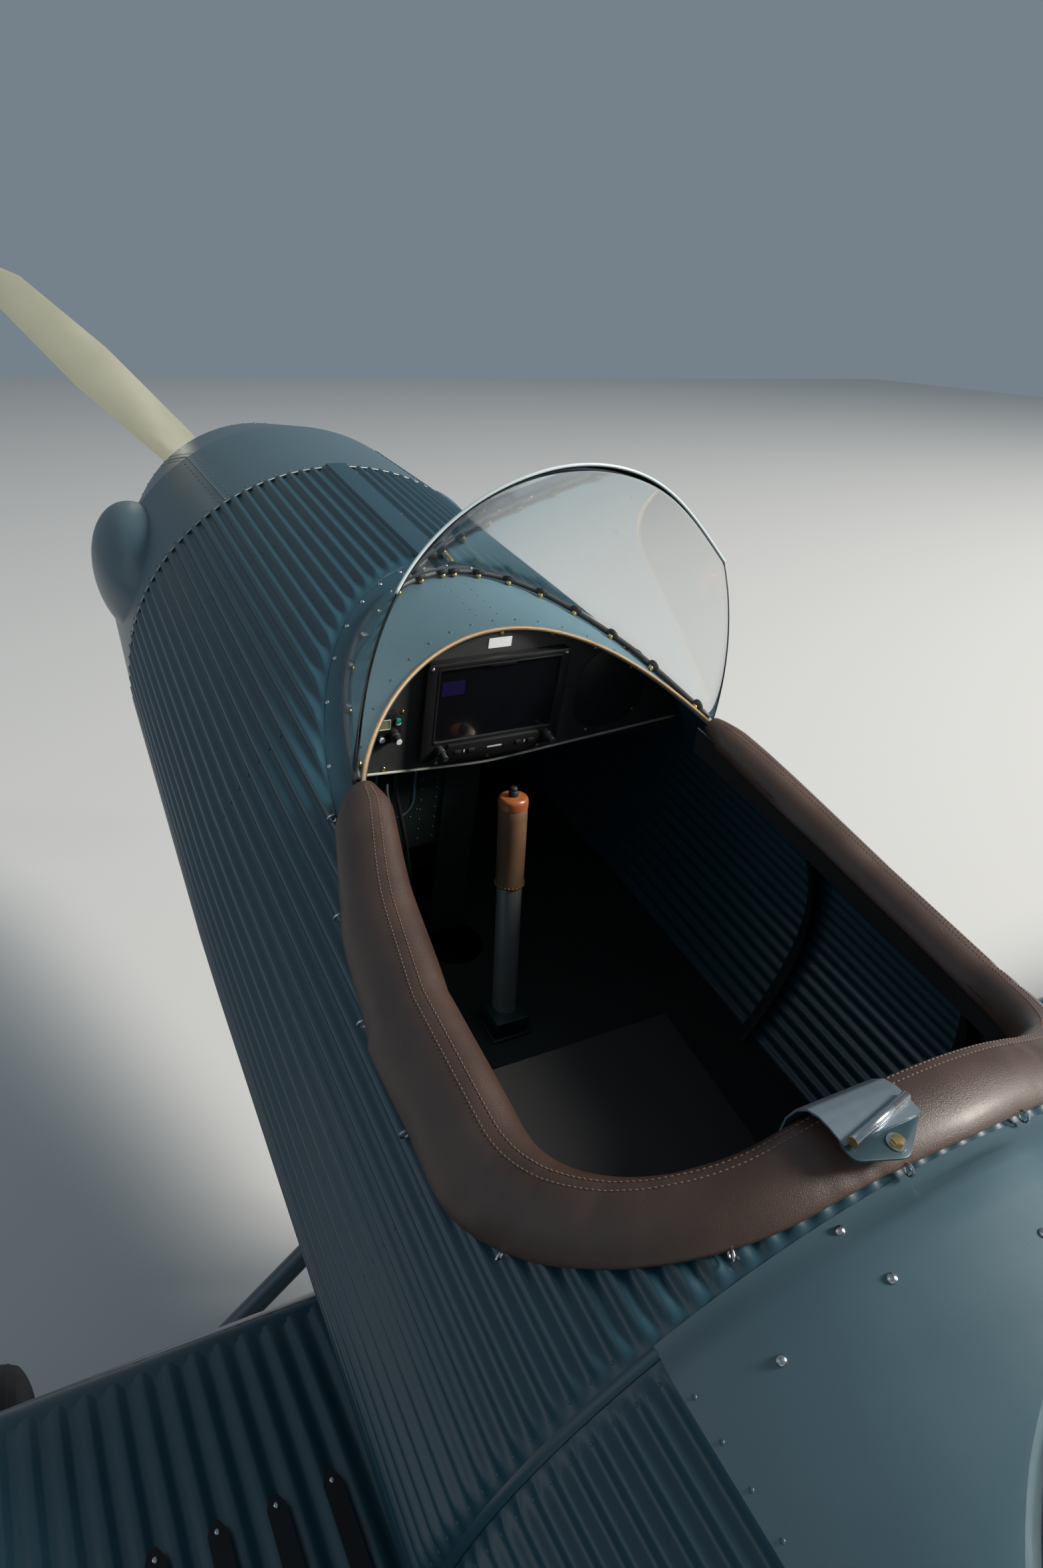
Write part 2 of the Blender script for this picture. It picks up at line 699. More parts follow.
def folded_deck(x, turn):
    """Lift of the rear deck, with a fold that is sharp in the middle and fades to port."""
    out = body_point(x, turn)[1]
    width = FOLD_SHARP + FOLD_SOFT * np.clip(out / FOLD_SOFT_AT, 0, 1)
    across = soft_step((FOLD_AT - x) / width)
    across = across * (1 - soft_step((x - FOLD_AT - FOLD_BACK) / (FOLD_END - FOLD_AT)))
    along = soft_step((out - FOLD_START) / FOLD_RISES) * (1 - soft_step((out - FOLD_FADES) / FOLD_GONE))
    rise = DECK_LOW + (DECK_LIFT - DECK_LOW) * soft_step((DECK_FRONT - x) / DECK_RISES)
    return rise + FOLD_HIGH * across * along


rim = crossing(opening_front, 0, -0.3)
foot = crossing(screen_foot, 0, 0.1)
plate("deck_flange", EDGE, flange_front, rim, FLANGE_LIFT, skin_paint, "corrugated_skin")
plate("scuttle_front", SCUTTLE_EDGE, foot, rim, SCUTTLE_LIFT, deck_paint, "cowl_paint")
plate(
    "deck_rear_fore", DECK_EDGE, station(DECK_FRONT), rear_front, folded_deck, deck_paint, "cowl_paint",
    "body_mid",
)
plate("deck_rear_aft", DECK_EDGE, rear_back, station(REAR_SEAM), DECK_LIFT, deck_paint, "cowl_paint")

# %% [markdown]
# ## Strips over the seams
#
# A raised strip covers the joint of the deck skin in the middle, bands cover the joints between the
# body sections, and a spine runs down the tail. They are narrow strips wrapped the same way, with
# their edges rolled down to the skin.

# %% Seam strips
STRIP_TURN, STRIP_END, STRIP_HIGH, STRIP_ROLL, STRIP_LOW = 0.036, 0.318, 0.0085, 0.006, -0.004
BAND_ROLL, TAIL_STRIP_HIGH, TAIL_STRIP_ROLL, TAIL_STRIP_NARROWS = 0.0015, 0.0052, 0.008, 0.62
# metres across the top for one turn: at the strip, at the front of the tail, and how much it loses aft
TURN_WIDE, TAIL_WIDE, TAIL_NARROWS = 0.82, 0.69, 0.53


def centre_strip(u, v):
    """The raised strip over the joint in front of the windscreen, with its long edges rolled down."""
    x = FIREWALL + (STRIP_END - FIREWALL) * v
    edge = np.minimum(u, 1 - u) * 2 * STRIP_TURN * TURN_WIDE
    high = STRIP_LOW + (STRIP_HIGH - STRIP_LOW) * np.sqrt(np.clip(edge / STRIP_ROLL, 0, 1))
    return body_point(x, STRIP_TURN * (2 * u - 1), high)


def band(name, at, half, lift, turns=(-3.0, 3.0), material=skin_paint):
    """A strip round the body over the joint of two skins, or part of the way round."""
    def wrap(u, v):
        away = 2 * v - 1
        turn = turns[0] + (turns[1] - turns[0]) * u
        return body_point(at + away * half, turn, lift - BAND_ROLL * away**2)

    return sheet_metal([grid(260, 6, wrap)], name, material, "corrugated_skin", gap=0.00005)


def tail_strip(name, at_turn, half):
    """A strip down the tail cone that narrows with it."""
    def wrap(u, v):
        away = 2 * u - 1
        width = half * (1 - TAIL_STRIP_NARROWS * v) / (TAIL_WIDE - TAIL_NARROWS * v)
        high = TAIL_STRIP_HIGH - TAIL_STRIP_ROLL * np.abs(away) ** 6
        return body_point(REAR_SEAM + (TAIL_END - REAR_SEAM) * v, at_turn + away * width, high)

    return sheet_metal([grid(16, 60, wrap)], name, skin_paint, "corrugated_skin")


sheet_metal([grid(28, 16, centre_strip)], "deck_centre_strip", skin_paint, "corrugated_skin")
for side, word in SIDES:
    band(f"seam_band_{word}", MID_SEAM, 0.006, -0.0015, (side * DECK_EDGE, side * 3.0))
band("seam_band_rear", REAR_SEAM, 0.018, 0.0045)
tail_strip("tail_spine", 0.0, 0.030)
for side, word in SIDES:
    tail_strip(f"tail_chine_{word}", side * 2.0, 0.018)

# %% [markdown]
# ## Windscreens
#
# Each windscreen is one clear sheet, wrapped round the front of the opening and leaning back. Its
# plan is known at a few heights. Between them a cubic gives the sizes, and round the plan two short
# polynomials give a curve with no corner at the shoulder. The grid starts on the deck and ends on
# the free edge, so nothing has to be cut.

# %% The form of a windscreen
# height, nose, shoulder x, shoulder y, end x, end y
SCREEN = np.array([
    (-0.020, 0.434, 0.330, 0.190, -0.200, 0.336),
    (0.140, 0.246, 0.110, 0.196, -0.205, 0.328),
    (0.300, 0.058, -0.030, 0.180, -0.190, 0.292),
    (0.500, -0.178, -0.190, 0.070, -0.205, 0.140),
])
SCREEN_SHEET, SCREEN_TOP, SHOULDER = 0.004, 0.487, 0.5
SCREEN_DROP, SCREEN_DROP_HALF, SCREEN_DROP_POWER = 0.090, 0.216, 2.2
# a place in the cockpit, counted from its panel
WITHIN = (-0.3, 0.0, 0.2)
screen_sizes = [np.polyfit(SCREEN[:, 0], SCREEN[:, k], 3) for k in range(1, 6)]


def screen_plan(s, height):
    """A windscreen's plan at a height: s runs from -1 at the starboard end to 1 at the port end."""
    nose, shoulder_x, shoulder_y, end_x, end_y = (np.polyval(sizes, height) for sizes in screen_sizes)
    cube = (shoulder_y / end_y - SHOULDER**3) / (SHOULDER - SHOULDER**3)
    square = ((shoulder_x - nose) / (end_x - nose) - SHOULDER**4) / (SHOULDER**2 - SHOULDER**4)
    x = nose + (end_x - nose) * (square * s**2 + (1 - square) * s**4)
    return x, end_y * (cube * s + (1 - cube) * s**3)


def screen_top(s):
    """Height of the free edge of a windscreen, which drops towards its two ends."""
    top = np.full(np.shape(s), SCREEN_TOP)
    for _ in range(40):
        out = np.abs(screen_plan(s, top)[1])
        top = (top + SCREEN_TOP - SCREEN_DROP * (out / SCREEN_DROP_HALF) ** SCREEN_DROP_POWER) / 2
    return top


def screen_base(s, panel):
    """The height at which a windscreen meets the deck."""
    height = np.full(np.shape(s), 0.1)
    for _ in range(14):
        x, y = screen_plan(s, height)
        height = body_point(x + panel, turn_at(x + panel, y))[2]
    return height


def inside_screen(s, panel, up, inward):
    """Places on the inner side of a windscreen near its foot, and the way that side faces."""
    nudge = 1e-3
    height = screen_base(s, panel) + up
    place = rows_of(*screen_plan(s, height), height)
    ahead = rows_of(*screen_plan(s + nudge, height), height)
    behind = rows_of(*screen_plan(s - nudge, height), height)
    above = rows_of(*screen_plan(s, height + nudge), height + nudge)
    normal = unit(np.cross(ahead - behind, above - place))
    place = place + (panel, 0, 0)
    toward = np.array(WITHIN) + (panel, 0, 0) - place
    normal *= np.sign(np.sum(normal * toward, -1))[..., None]
    return place + normal * inward, normal


# %% Windscreens with their rubber strips and screws
def clear_material(name, tint):
    """Clear sheet that lets the lamps shine through it."""
    material = plain_material(name, tint, 0.02)
    nodes = material.node_tree.nodes
    shader = nodes["Principled BSDF"]
    shader.inputs["Transmission Weight"].default_value = 1.0
    shader.inputs["IOR"].default_value = 1.49
    through = add_node(material, "BsdfTransparent", Color=(0.93, 0.95, 0.95, 1))
    rays, mix = add_node(material, "LightPath"), add_node(material, "MixShader")
    wire(
        material,
        (rays.outputs["Is Shadow Ray"], mix.inputs["Fac"]),
        (shader.outputs["BSDF"], mix.inputs[1]),
        (through.outputs["BSDF"], mix.inputs[2]),
        (mix.outputs["Shader"], nodes["Material Output"].inputs["Surface"]),
    )
    return material


screen_clear = clear_material("clear_screen", (0.97, 0.985, 0.985))
polished_edge = finish("polished_edge", (0.62, 0.70, 0.72), 0.20, vary=0.10, scale=30, coat=0.5)
SCREEN_SCREWS = np.array([0.03, 0.15, 0.29, 0.43, 0.57, 0.71, 0.85, 0.97])
screen_screws = np.concatenate((-SCREEN_SCREWS[::-1], SCREEN_SCREWS))
LIP_R, STRIP_R, STRIP_UP, STRIP_IN, SCREW_UP, SCREW_IN = 0.0024, 0.0055, 0.011, 0.008, 0.013, 0.010
SCREEN_GAP, LOBE_SUNK, SCREW_PROUD = 0.001, 0.003, 0.005
for name, panel in COCKPITS.items():

    def wrap(u, v):
        s = u * 2 - 1
        low = screen_base(s, panel) + SCREEN_GAP
        height = low + (screen_top(s) - low) * v
        x, y = screen_plan(s, height)
        return x + panel, y, height

    clear = tidy_mesh(hold(grid(96, 28, wrap), f"clear_screen_{name}", screen_clear))
    modify(clear, "SOLIDIFY", thickness=SCREEN_SHEET, offset=-1)
    modify(clear, "BEVEL", width=0.0008, segments=2, limit_method="ANGLE", angle_limit=math.radians(60))
    stand(smooth(clear, 35), "screen_clear", f"windscreen_{name}")
    s = np.linspace(-1, 1, 140)
    x, y = screen_plan(s, screen_top(s))
    lip = rod(f"screen_lip_{name}", rows_of(x + panel, y, screen_top(s)), LIP_R, polished_edge)
    stand(lip, "screen_clear")

    route, _ = inside_screen(np.linspace(-0.995, 0.995, 120), panel, STRIP_UP, STRIP_IN)
    rubber = rod("strip", route, STRIP_R, black_rubber)
    spots, facing = inside_screen(screen_screws, panel, SCREW_UP, SCREW_IN)
    lobes = copies("lobes", dome(0.0125, 0.008, 12), spots - facing * LOBE_SUNK, facing, black_rubber)
    stand(join([rubber, lobes], f"screen_strip_{name}", black_rubber), "panel_black")
    spots = spots + facing * SCREW_PROUD
    screws = copies(f"screen_screws_{name}", dome(0.0062, 0.0045), spots, facing, brass)
    stand(screws, "stick_metal")

# %% [markdown]
# ## Padded coamings
#
# Behind the windscreen the edge of the opening wears a leather roll, stuffed and laced to small
# hooks on the skin. A roll is a closed section carried round the edge. It is inflated as cloth that
# is pinned where it is laced and sewn, so that it swells between the hooks and pulls in at them.
# The stitches follow the swollen shape, and the hooks stand where it is laced.

# %% The route of a coaming and its section
COAMING_START = -0.214
# out from the edge of the opening, up from the skin, all round the section
ROLL = np.array([
    (0.002, 0.0055), (0.018, 0.0052), (0.031, 0.0056), (0.037, 0.0085), (0.0365, 0.014), (0.030, 0.020),
    (0.018, 0.0245), (0.004, 0.0255), (-0.010, 0.0235), (-0.021, 0.0175), (-0.0285, 0.008),
    (-0.0315, -0.004), (-0.0305, -0.016), (-0.026, -0.026), (-0.018, -0.0315), (-0.010, -0.0315),
    (-0.005, -0.026), (-0.0035, -0.014), (-0.0032, -0.003),
])
# the same away from the ends of the roll, where it is broader and lies further out
ROLL_WIDE = np.array([
    (0.002, 0.0055), (0.040, 0.0052), (0.058, 0.0056), (0.0655, 0.0085), (0.065, 0.014), (0.057, 0.021),
    (0.044, 0.026), (0.029, 0.0275), (0.013, 0.0262), (0.000, 0.0215), (-0.0085, 0.012),
    (-0.0125, -0.002), (-0.0125, -0.015), (-0.0105, -0.026), (-0.0085, -0.0315), (-0.0065, -0.0315),
    (-0.005, -0.026), (-0.0035, -0.014), (-0.0032, -0.003),
])
WIDE, COUNT = len(ROLL), 300
GROWS_OVER, REAR_GAIN, REAR_HALF, TAPERS_OVER = 0.25, 0.26, 0.45, 0.055
# points of the section that are laced, sewn down, and drawn in by the seam; the one over the apron
HEM, SEWN, SEAM, APRON_AT = (2, 3), (0, 1, 16, 17, 18), 10, 13
LACES = 14
laced = np.rint(np.linspace(4, COUNT - 5, LACES)).astype(int)


def along_line(line):
    """How far along a line each of its points lies."""
    return np.concatenate(([0], np.cumsum(np.linalg.norm(np.diff(line, axis=0), axis=1))))


def picked(places, reach, line):
    """Points on a line at so far along it."""
    return rows_of(*[np.interp(places, reach, column) for column in line.T])


def soften(line, times):
    """Smooths a line and keeps its two ends."""
    for _ in range(times):
        line[1:-1] = (line[:-2] + 2 * line[1:-1] + line[2:]) / 4
    return line


def coaming_route(panel):
    """Points round the open edge from the port end to the starboard end, their outward directions."""
    side_x = np.linspace(COAMING_START, SIDE_MID, 40)
    out = np.where(
        side_x > RIM_END,
        np.sqrt(np.maximum(RIM_R**2 - (side_x - RIM_NOSE + RIM_R) ** 2, 0)),
        RIM_HALF + (RIM_END - side_x) / (RIM_END - SIDE_MID) * (SIDE_HALF - RIM_HALF),
    )
    corner = np.radians(np.linspace(0, 90, 40))
    half = np.concatenate((
        rows_of(side_x, out),
        [(SIDE_MID - 0.1, SIDE_HALF), (SIDE_END, SIDE_HALF)],
        rows_of(SIDE_END - BACK_R * np.sin(corner), BACK_HALF + BACK_R * np.cos(corner))[1:],
    ))
    line = np.concatenate((half, half[::-1] * (1, -1)))
    reach = along_line(line)
    flat = soften(picked(np.linspace(0, reach[-1], COUNT), reach, line), 3)
    forward = unit(np.gradient(flat, axis=0))
    outward = rows_of(forward[:, 1], -forward[:, 0])
    outward *= np.sign(np.sum(outward * (flat - (-0.6, 0)), axis=1))[:, None]
    return flat + (panel, 0), outward, reach[-1]


def roll_section(flat, long, panel):
    """The roll's section at each point of its route, out from the edge and up from the skin."""
    share = np.linspace(0, 1, COUNT)
    grown = soft_step(np.minimum(share, 1 - share) * long / GROWS_OVER)[:, None]
    rear = np.clip(1 - np.abs(flat[:, 1]) / REAR_HALF, 0, 1) * (flat[:, 0] < panel + SIDE_MID)
    out, up = [ROLL[:, k] * (1 - grown) + ROLL_WIDE[:, k] * grown for k in (0, 1)]
    return np.where(out > 0, out * (1 + REAR_GAIN * rear[:, None]), out), up


def on_deck(flat, outward, out, up):
    """A place so far out from the edge and so far up from the skin."""
    x, y = (flat + outward * out).T
    return rows_of(*body_point(x, turn_at(x, y), up))


def roll_mesh(name, panel):
    """The sewn cover of a roll, tapered towards its closed ends."""
    flat, outward, long = coaming_route(panel)
    share = np.linspace(0, 1, COUNT)
    taper = np.sqrt(np.clip(np.minimum(share, 1 - share) * long / TAPERS_OVER, 0.05, 1))[:, None]
    out, up = roll_section(flat, long, panel)
    thin_out, thin_up = 0.25 + 0.75 * taper, 0.35 + 0.65 * taper
    out = out.mean(axis=1, keepdims=True) * (1 - thin_out) + out * thin_out
    up = up.mean(axis=1, keepdims=True) * (1 - thin_up) + up * thin_up
    rings = [on_deck(flat, outward, out[:, j][:, None], up[:, j]) for j in range(WIDE)]
    points = np.stack(rings, 1).reshape(-1, 3)
    faces = []
    for k in range(0, (COUNT - 1) * WIDE, WIDE):
        for j in range(WIDE):
            after = (j + 1) % WIDE
            faces.append((k + j, k + after, k + WIDE + after, k + WIDE + j))
    faces += [tuple(range(WIDE))[::-1], tuple(range((COUNT - 1) * WIDE, COUNT * WIDE))]
    return tidy_mesh(from_faces(name, points.tolist(), faces), gap=0)


# %% Stuffing and creases
PRESSURE, MOMENTS, SWELL = 5.0, 20, 0.0035
CREASES_AT = (0.30, 0.36, 0.44, 0.56, 0.64, 0.70)
CREASE_DEEP, CREASE_SPREAD, CREASE_SEED, CREASE_LEANS = 0.0016, 5, 7, 0.8
# in rings along the roll and in points round it
CREASE_NARROW, CREASE_LONG, CREASE_MIDDLE = 0.9, 3.2, 7


def hold_fast(k, j):
    """How firmly a point of the roll is held: 1 where it is sewn or laced, less at the seam."""
    if j in SEWN or k in (0, 1, COUNT - 2, COUNT - 1) or (k in laced and j in HEM):
        return 1.0
    return 0.25 if j == SEAM else 0.0


def inflate(roll, cap):
    """Lets the stuffing swell the leather between its laces, never further than the cap."""
    pins = roll.vertex_groups.new(name="sewn")
    for index in range(COUNT * WIDE):
        pins.add([index], hold_fast(*divmod(index, WIDE)), "REPLACE")
    before = points_of(roll)
    only(roll)
    cloth = roll.modifiers.new("stuffing", "CLOTH")
    cloth.settings.use_pressure = True
    cloth.settings.uniform_pressure_force = PRESSURE
    cloth.settings.mass = 0.4
    cloth.settings.quality = 6
    cloth.settings.tension_stiffness = 25
    cloth.settings.compression_stiffness = 25
    cloth.settings.bending_stiffness = 0.6
    cloth.settings.vertex_group_mass = "sewn"
    cloth.settings.effector_weights.gravity = 0
    cloth.point_cache.frame_end = MOMENTS
    for moment in range(1, MOMENTS + 1):
        bpy.context.scene.frame_set(moment)
    bpy.ops.object.modifier_apply(modifier=cloth.name)
    bpy.context.scene.frame_set(1)
    move = points_of(roll) - before
    far = np.linalg.norm(move, axis=1)
    move *= np.minimum(1, cap / np.maximum(far, 1e-9))[:, None]
    roll.data.vertices.foreach_set("co", (before + move).ravel())
    print(roll.name, "swelled by up to", round(float(far.max()) * 1000, 1), "mm")


def crease(roll):
    """Short creases across the roll where it is pulled tight."""
    rng = np.random.default_rng(CREASE_SEED)
    normal = np.empty(3 * len(roll.data.vertices))
    roll.data.vertex_normals.foreach_get("vector", normal)
    k, j = np.divmod(np.arange(COUNT * WIDE), WIDE)
    dent = np.zeros(COUNT * WIDE)
    for at in CREASES_AT:
        for _ in range(5):
            where = at * (COUNT - 1) + rng.uniform(-1, 1) * CREASE_SPREAD
            lean = rng.uniform(-CREASE_LEANS, CREASE_LEANS)
            across = np.exp(-((((k - where) + lean * (j - CREASE_MIDDLE)) / CREASE_NARROW) ** 2))
            across = across * np.exp(-(((j - rng.uniform(3, 9)) / CREASE_LONG) ** 2))
            dent -= CREASE_DEEP * rng.uniform(0.4, 1.0) * across
    place = points_of(roll) + normal.reshape(-1, 3) * dent[:, None]
    roll.data.vertices.foreach_set("co", place.ravel())


# %% Rolls, aprons and stitches
leather = finish(
    "brown_leather", (0.040, 0.022, 0.016), 0.40, vary=0.32, scale=14, bump=0.55, bump_scale=900, coat=0.12,
    tint=(0.088, 0.050, 0.035),
)
apron_cloth = finish("black_apron", (0.012, 0.012, 0.014), 0.62, vary=0.3, bump=0.4, bump_scale=700)
thread = finish("brown_thread", (0.20, 0.12, 0.085), 0.7, vary=0.2, scale=300)
APRON_LOW, APRON_HANGS, APRON_OUT = -0.020, 0.052, 0.008
# the two rows of stitches beside the seam: the point of the section, and the share of the way on
STITCH_ROWS, STITCH_STEP, STITCH_CLEAR = ((8, 0.55), (9, 0.35)), 0.0065, 0.02
for name, panel in COCKPITS.items():
    roll = roll_mesh(f"coaming_roll_{name}", panel)
    inflate(roll, SWELL)
    crease(roll)
    hold(roll, roll.name, leather)
    surface = points_of(roll).reshape(COUNT, WIDE, 3)
    modify(roll, "SUBSURF", levels=1, render_levels=1)
    stand(smooth(roll, 80), "coaming_leather", f"coaming_{name}")

    flat, outward, long = coaming_route(panel)
    below = roll_section(flat, long, panel)[0][:, APRON_AT:APRON_AT + 1]
    low = on_deck(flat, outward, below, APRON_LOW)
    lower = low + np.pad(outward * APRON_OUT, ((0, 0), (0, 1))) - (0, 0, APRON_HANGS)

    def hang(u, v):
        k = np.rint(u * (COUNT - 1)).astype(int)
        return (low[k] * (1 - v[:, None]) + lower[k] * v[:, None]).T

    apron = hold(grid(COUNT - 1, 6, hang), f"coaming_apron_{name}", apron_cloth)
    stand(smooth(modify(apron, "SOLIDIFY", thickness=0.0025, offset=0), 60), "panel_black")

    spots, ways, leads = [], [], []
    for row, share in STITCH_ROWS:
        line = surface[:, row] * (1 - share) + surface[:, row + 1] * share
        reach = along_line(line)
        even = np.arange(STITCH_CLEAR, reach[-1] - STITCH_CLEAR, STITCH_STEP)
        spots.append(picked(even, reach, line))
        ways.append(picked(even, reach, surface[:, row] - surface.mean(axis=1)))
        leads.append(np.gradient(spots[-1], axis=0))
    seam = copies(
        f"coaming_stitches_{name}", stitch(0.0024, 0.0008), np.concatenate(spots), np.concatenate(ways),
        thread, leads=np.concatenate(leads),
    )
    stand(seam, "coaming_leather")

# %% [markdown]
# ## Panel, display and radio
#
# The cockpit fittings are cut from sheet and turned from bar. An outline drawn on the panel becomes
# a prism with small bevels, two outlines become a frame, and a short profile turned round an axis
# becomes a knob or a screw. The display's picture is dark and its case bears no name.

# %% Prisms, frames and turned pieces
def prism(outlines, near, far, bevel=0.0006):
    """A plate between two stations from one outline on the panel, or a frame from two."""
    mesh = bmesh.new()
    rings = [[[mesh.verts.new((x, y, z)) for y, z in outline] for outline in outlines] for x in (near, far)]
    count = len(outlines[0])
    for k in range(count):
        after = (k + 1) % count
        for fore, aft in zip(*rings):
            mesh.faces.new((fore[k], fore[after], aft[after], aft[k]))
        if len(outlines) == 2:
            for outer, inner in rings:
                mesh.faces.new((outer[k], outer[after], inner[after], inner[k]))
    if len(outlines) == 1:
        for end in rings:
            mesh.faces.new(end[0])
    bmesh.ops.recalc_face_normals(mesh, faces=mesh.faces)
    data = bpy.data.meshes.new("prism")
    mesh.to_mesh(data)
    mesh.free()
    piece = new_piece("prism", data)
    if bevel:
        modify(piece, "BEVEL", width=bevel, segments=2, limit_method="ANGLE", angle_limit=math.radians(50))
    return smooth(piece, 35)


def rounded(y, z, wide, high, corner, steps=6):
    """The outline of a rounded rectangle on the panel."""
    outline = []
    for quarter, (out, up) in enumerate(((1, 1), (-1, 1), (-1, -1), (1, -1))):
        for step in range(steps + 1):
            angle = math.pi / 2 * (quarter + step / steps)
            outline.append((
                y + out * (wide / 2 - corner) + corner * math.cos(angle),
                z + up * (high / 2 - corner) + corner * math.sin(angle),
            ))
    return outline


def turned(profile, around=24):
    """A profile of radius and height, turned round Z."""
    angles = np.linspace(0, 2 * math.pi, around, endpoint=False)
    points, faces = [], []
    for radius, height in profile:
        points += [(radius * math.cos(a), radius * math.sin(a), height) for a in angles]
    for start in range(0, len(points) - around, around):
        for k in range(around):
            after = start + (k + 1) % around
            faces.append((start + k, after, after + around, start + k + around))
    faces += [tuple(range(around))[::-1], tuple(range(len(points) - around, len(points)))]
    return smooth(from_faces("turned", points, faces), 35)


def fittings(table, tail, x, mid):
    """Pieces from a table: name, finish, slot, prisms, solids they stand for. A prism is outlines,
    each a rounded rectangle or a list of corners, then its near and far station and its bevel."""
    for part, material, slot, shapes, *nodes in table:
        made = []
        for outlines, near, far, bevel in shapes:
            drawn = [o if isinstance(o, list) else rounded(*o) for o in outlines]
            drawn = [[(y, z + mid) for y, z in outline] for outline in drawn]
            made.append(prism(drawn, x + near, x + far, bevel))
        stand(join(made, part + tail, material), slot, *[node + tail for node in nodes])


AFT, UP = (-1, 0, 0), (0, 0, 1)
SCREW = [(0.0038, 0), (0.0038, 0.0008), (0.0030, 0.0019), (0.0014, 0.0024), (0.0011, 0.0012)]
crinkle = finish("crinkle_black", (0.022, 0.023, 0.023), 0.62, vary=0.7, scale=900, bump=0.9, bump_scale=1400)
case_black = finish("display_case", (0.010, 0.010, 0.011), 0.34, vary=0.15, bump=0.12, bump_scale=900)
glass_black = finish("display_glass", (0.004, 0.0045, 0.006), 0.06, vary=0.2, scale=20, coat=0.5)
knob_black = finish("knob_black", (0.014, 0.014, 0.015), 0.5, vary=0.2, bump=0.2, bump_scale=900)
label_white = finish("label_white", (0.78, 0.79, 0.80), 0.4, vary=0.03)
green_plastic = finish("green_button", (0.0, 0.22, 0.13), 0.4, vary=0.1)
picture_glow = finish("picture_blue", (0.012, 0.008, 0.045), 0.1, vary=0.35, scale=120)
lcd_green = finish("lcd_green", (0.19, 0.22, 0.12), 0.15, vary=0.15, scale=60)
pale_edge = finish("pale_edge", (0.42, 0.41, 0.37), 0.45, vary=0.08, scale=40)
trim_brown = finish("trim_brown", (0.24, 0.155, 0.075), 0.38, vary=0.25, scale=40)
inner_green = finish("inner_green", (0.011, 0.017, 0.016), 0.5, vary=0.2, bump=0.1)

# %% Display, its knobs and screws
DISPLAY_FACE, RADIO_FACE, SCREW_AT = -0.0163, -0.0123, -0.0003
PANEL_MIDDLE = {"front": 0.0, "rear": -0.032}
PANEL_HALF, PANEL_LOW, PANEL_RISE, PANEL_BEND = 0.425, -0.1305, 0.075, 0.03
TRIM_AHEAD, TRIM_LIFT = 0.0005, -0.0035
WINDOW = (-0.003, 0.0125)
CHIN = [
    (0.093, -0.079), (0.080, -0.1015), (-0.088, -0.1015), (-0.099, -0.079), (-0.094, -0.066), (0.088, -0.066),
]
# stations are counted from the face of the display
DISPLAY_PARTS = [
    ("display_case", case_black, "display_black", [
        ([(0, 0, 0.276, 0.198, 0.009), (*WINDOW, 0.232, 0.143, 0.004)], 0, 0.0160, 0.0014),
        ([(*WINDOW, 0.242, 0.153, 0.006), (*WINDOW, 0.2345, 0.1455, 0.005)], -0.0008, 0.002, 0.0005),
        ([(-0.004, 0.0855, 0.052, 0.0065, 0.003)], -0.0009, 0.002, 0.0004),
        ([CHIN], -0.0065, 0.004, 0.0030),
    ], "display"),
    ("display_glass", glass_black, "display_black", [([(*WINDOW, 0.236, 0.147, 0.003)], 0.0026, 0.0070, 0)]),
    ("display_picture", picture_glow, "display_black", [
        ([(0.086, 0.047, 0.043, 0.028, 0.001)], 0.0022, 0.0028, 0),
    ]),
    ("display_buttons", knob_black, "display_black", [
        ([(out, -0.0815, 0.0125, 0.0065, 0.0012)], -0.0088, -0.005, 0.0004)
        for out in (0.069, 0.042, -0.053, -0.079)
    ]),
    ("display_slot", pale_edge, "display_black", [
        ([(-0.004, -0.082, 0.030, 0.0034, 0.0016)], -0.0073, -0.0055, 0.0004),
        *[([(out, -0.0815, 0.003, 0.0062, 0.0014)], -0.0072, -0.0055, 0) for out in (0.0565, -0.0655)],
    ]),
]
# stations are counted from the panel
PANEL_PARTS = [
    ("panel_label", label_white, "panel_black", [([(0.0, 0.1185, 0.044, 0.019, 0.001)], -0.0009, 0.0002, 0)]),
    ("panel_inset", knob_black, "panel_black", [
        ([(-0.250, -0.008, 0.150, 0.170, 0.060, 10)], -0.0016, 0.0004, 0.0006),
    ]),
]
# out, up, as measured from the middle of the panel
PANEL_SCREWS = [
    (-0.001, 0.137), (-0.103, 0.123), (0.171, 0.006), (0.199, -0.108), (0.098, -0.1155), (-0.006, -0.1185),
    (-0.110, -0.1145), (-0.200, 0.082), (-0.289, 0.030), (-0.313, -0.067), (-0.214, -0.098),
]
KNOB = [(0.0086, 0), (0.0086, 0.0135), (0.0078, 0.0150), (0.0058, 0.0152), (0.0058, 0.0300), (0.0050, 0.0312)]
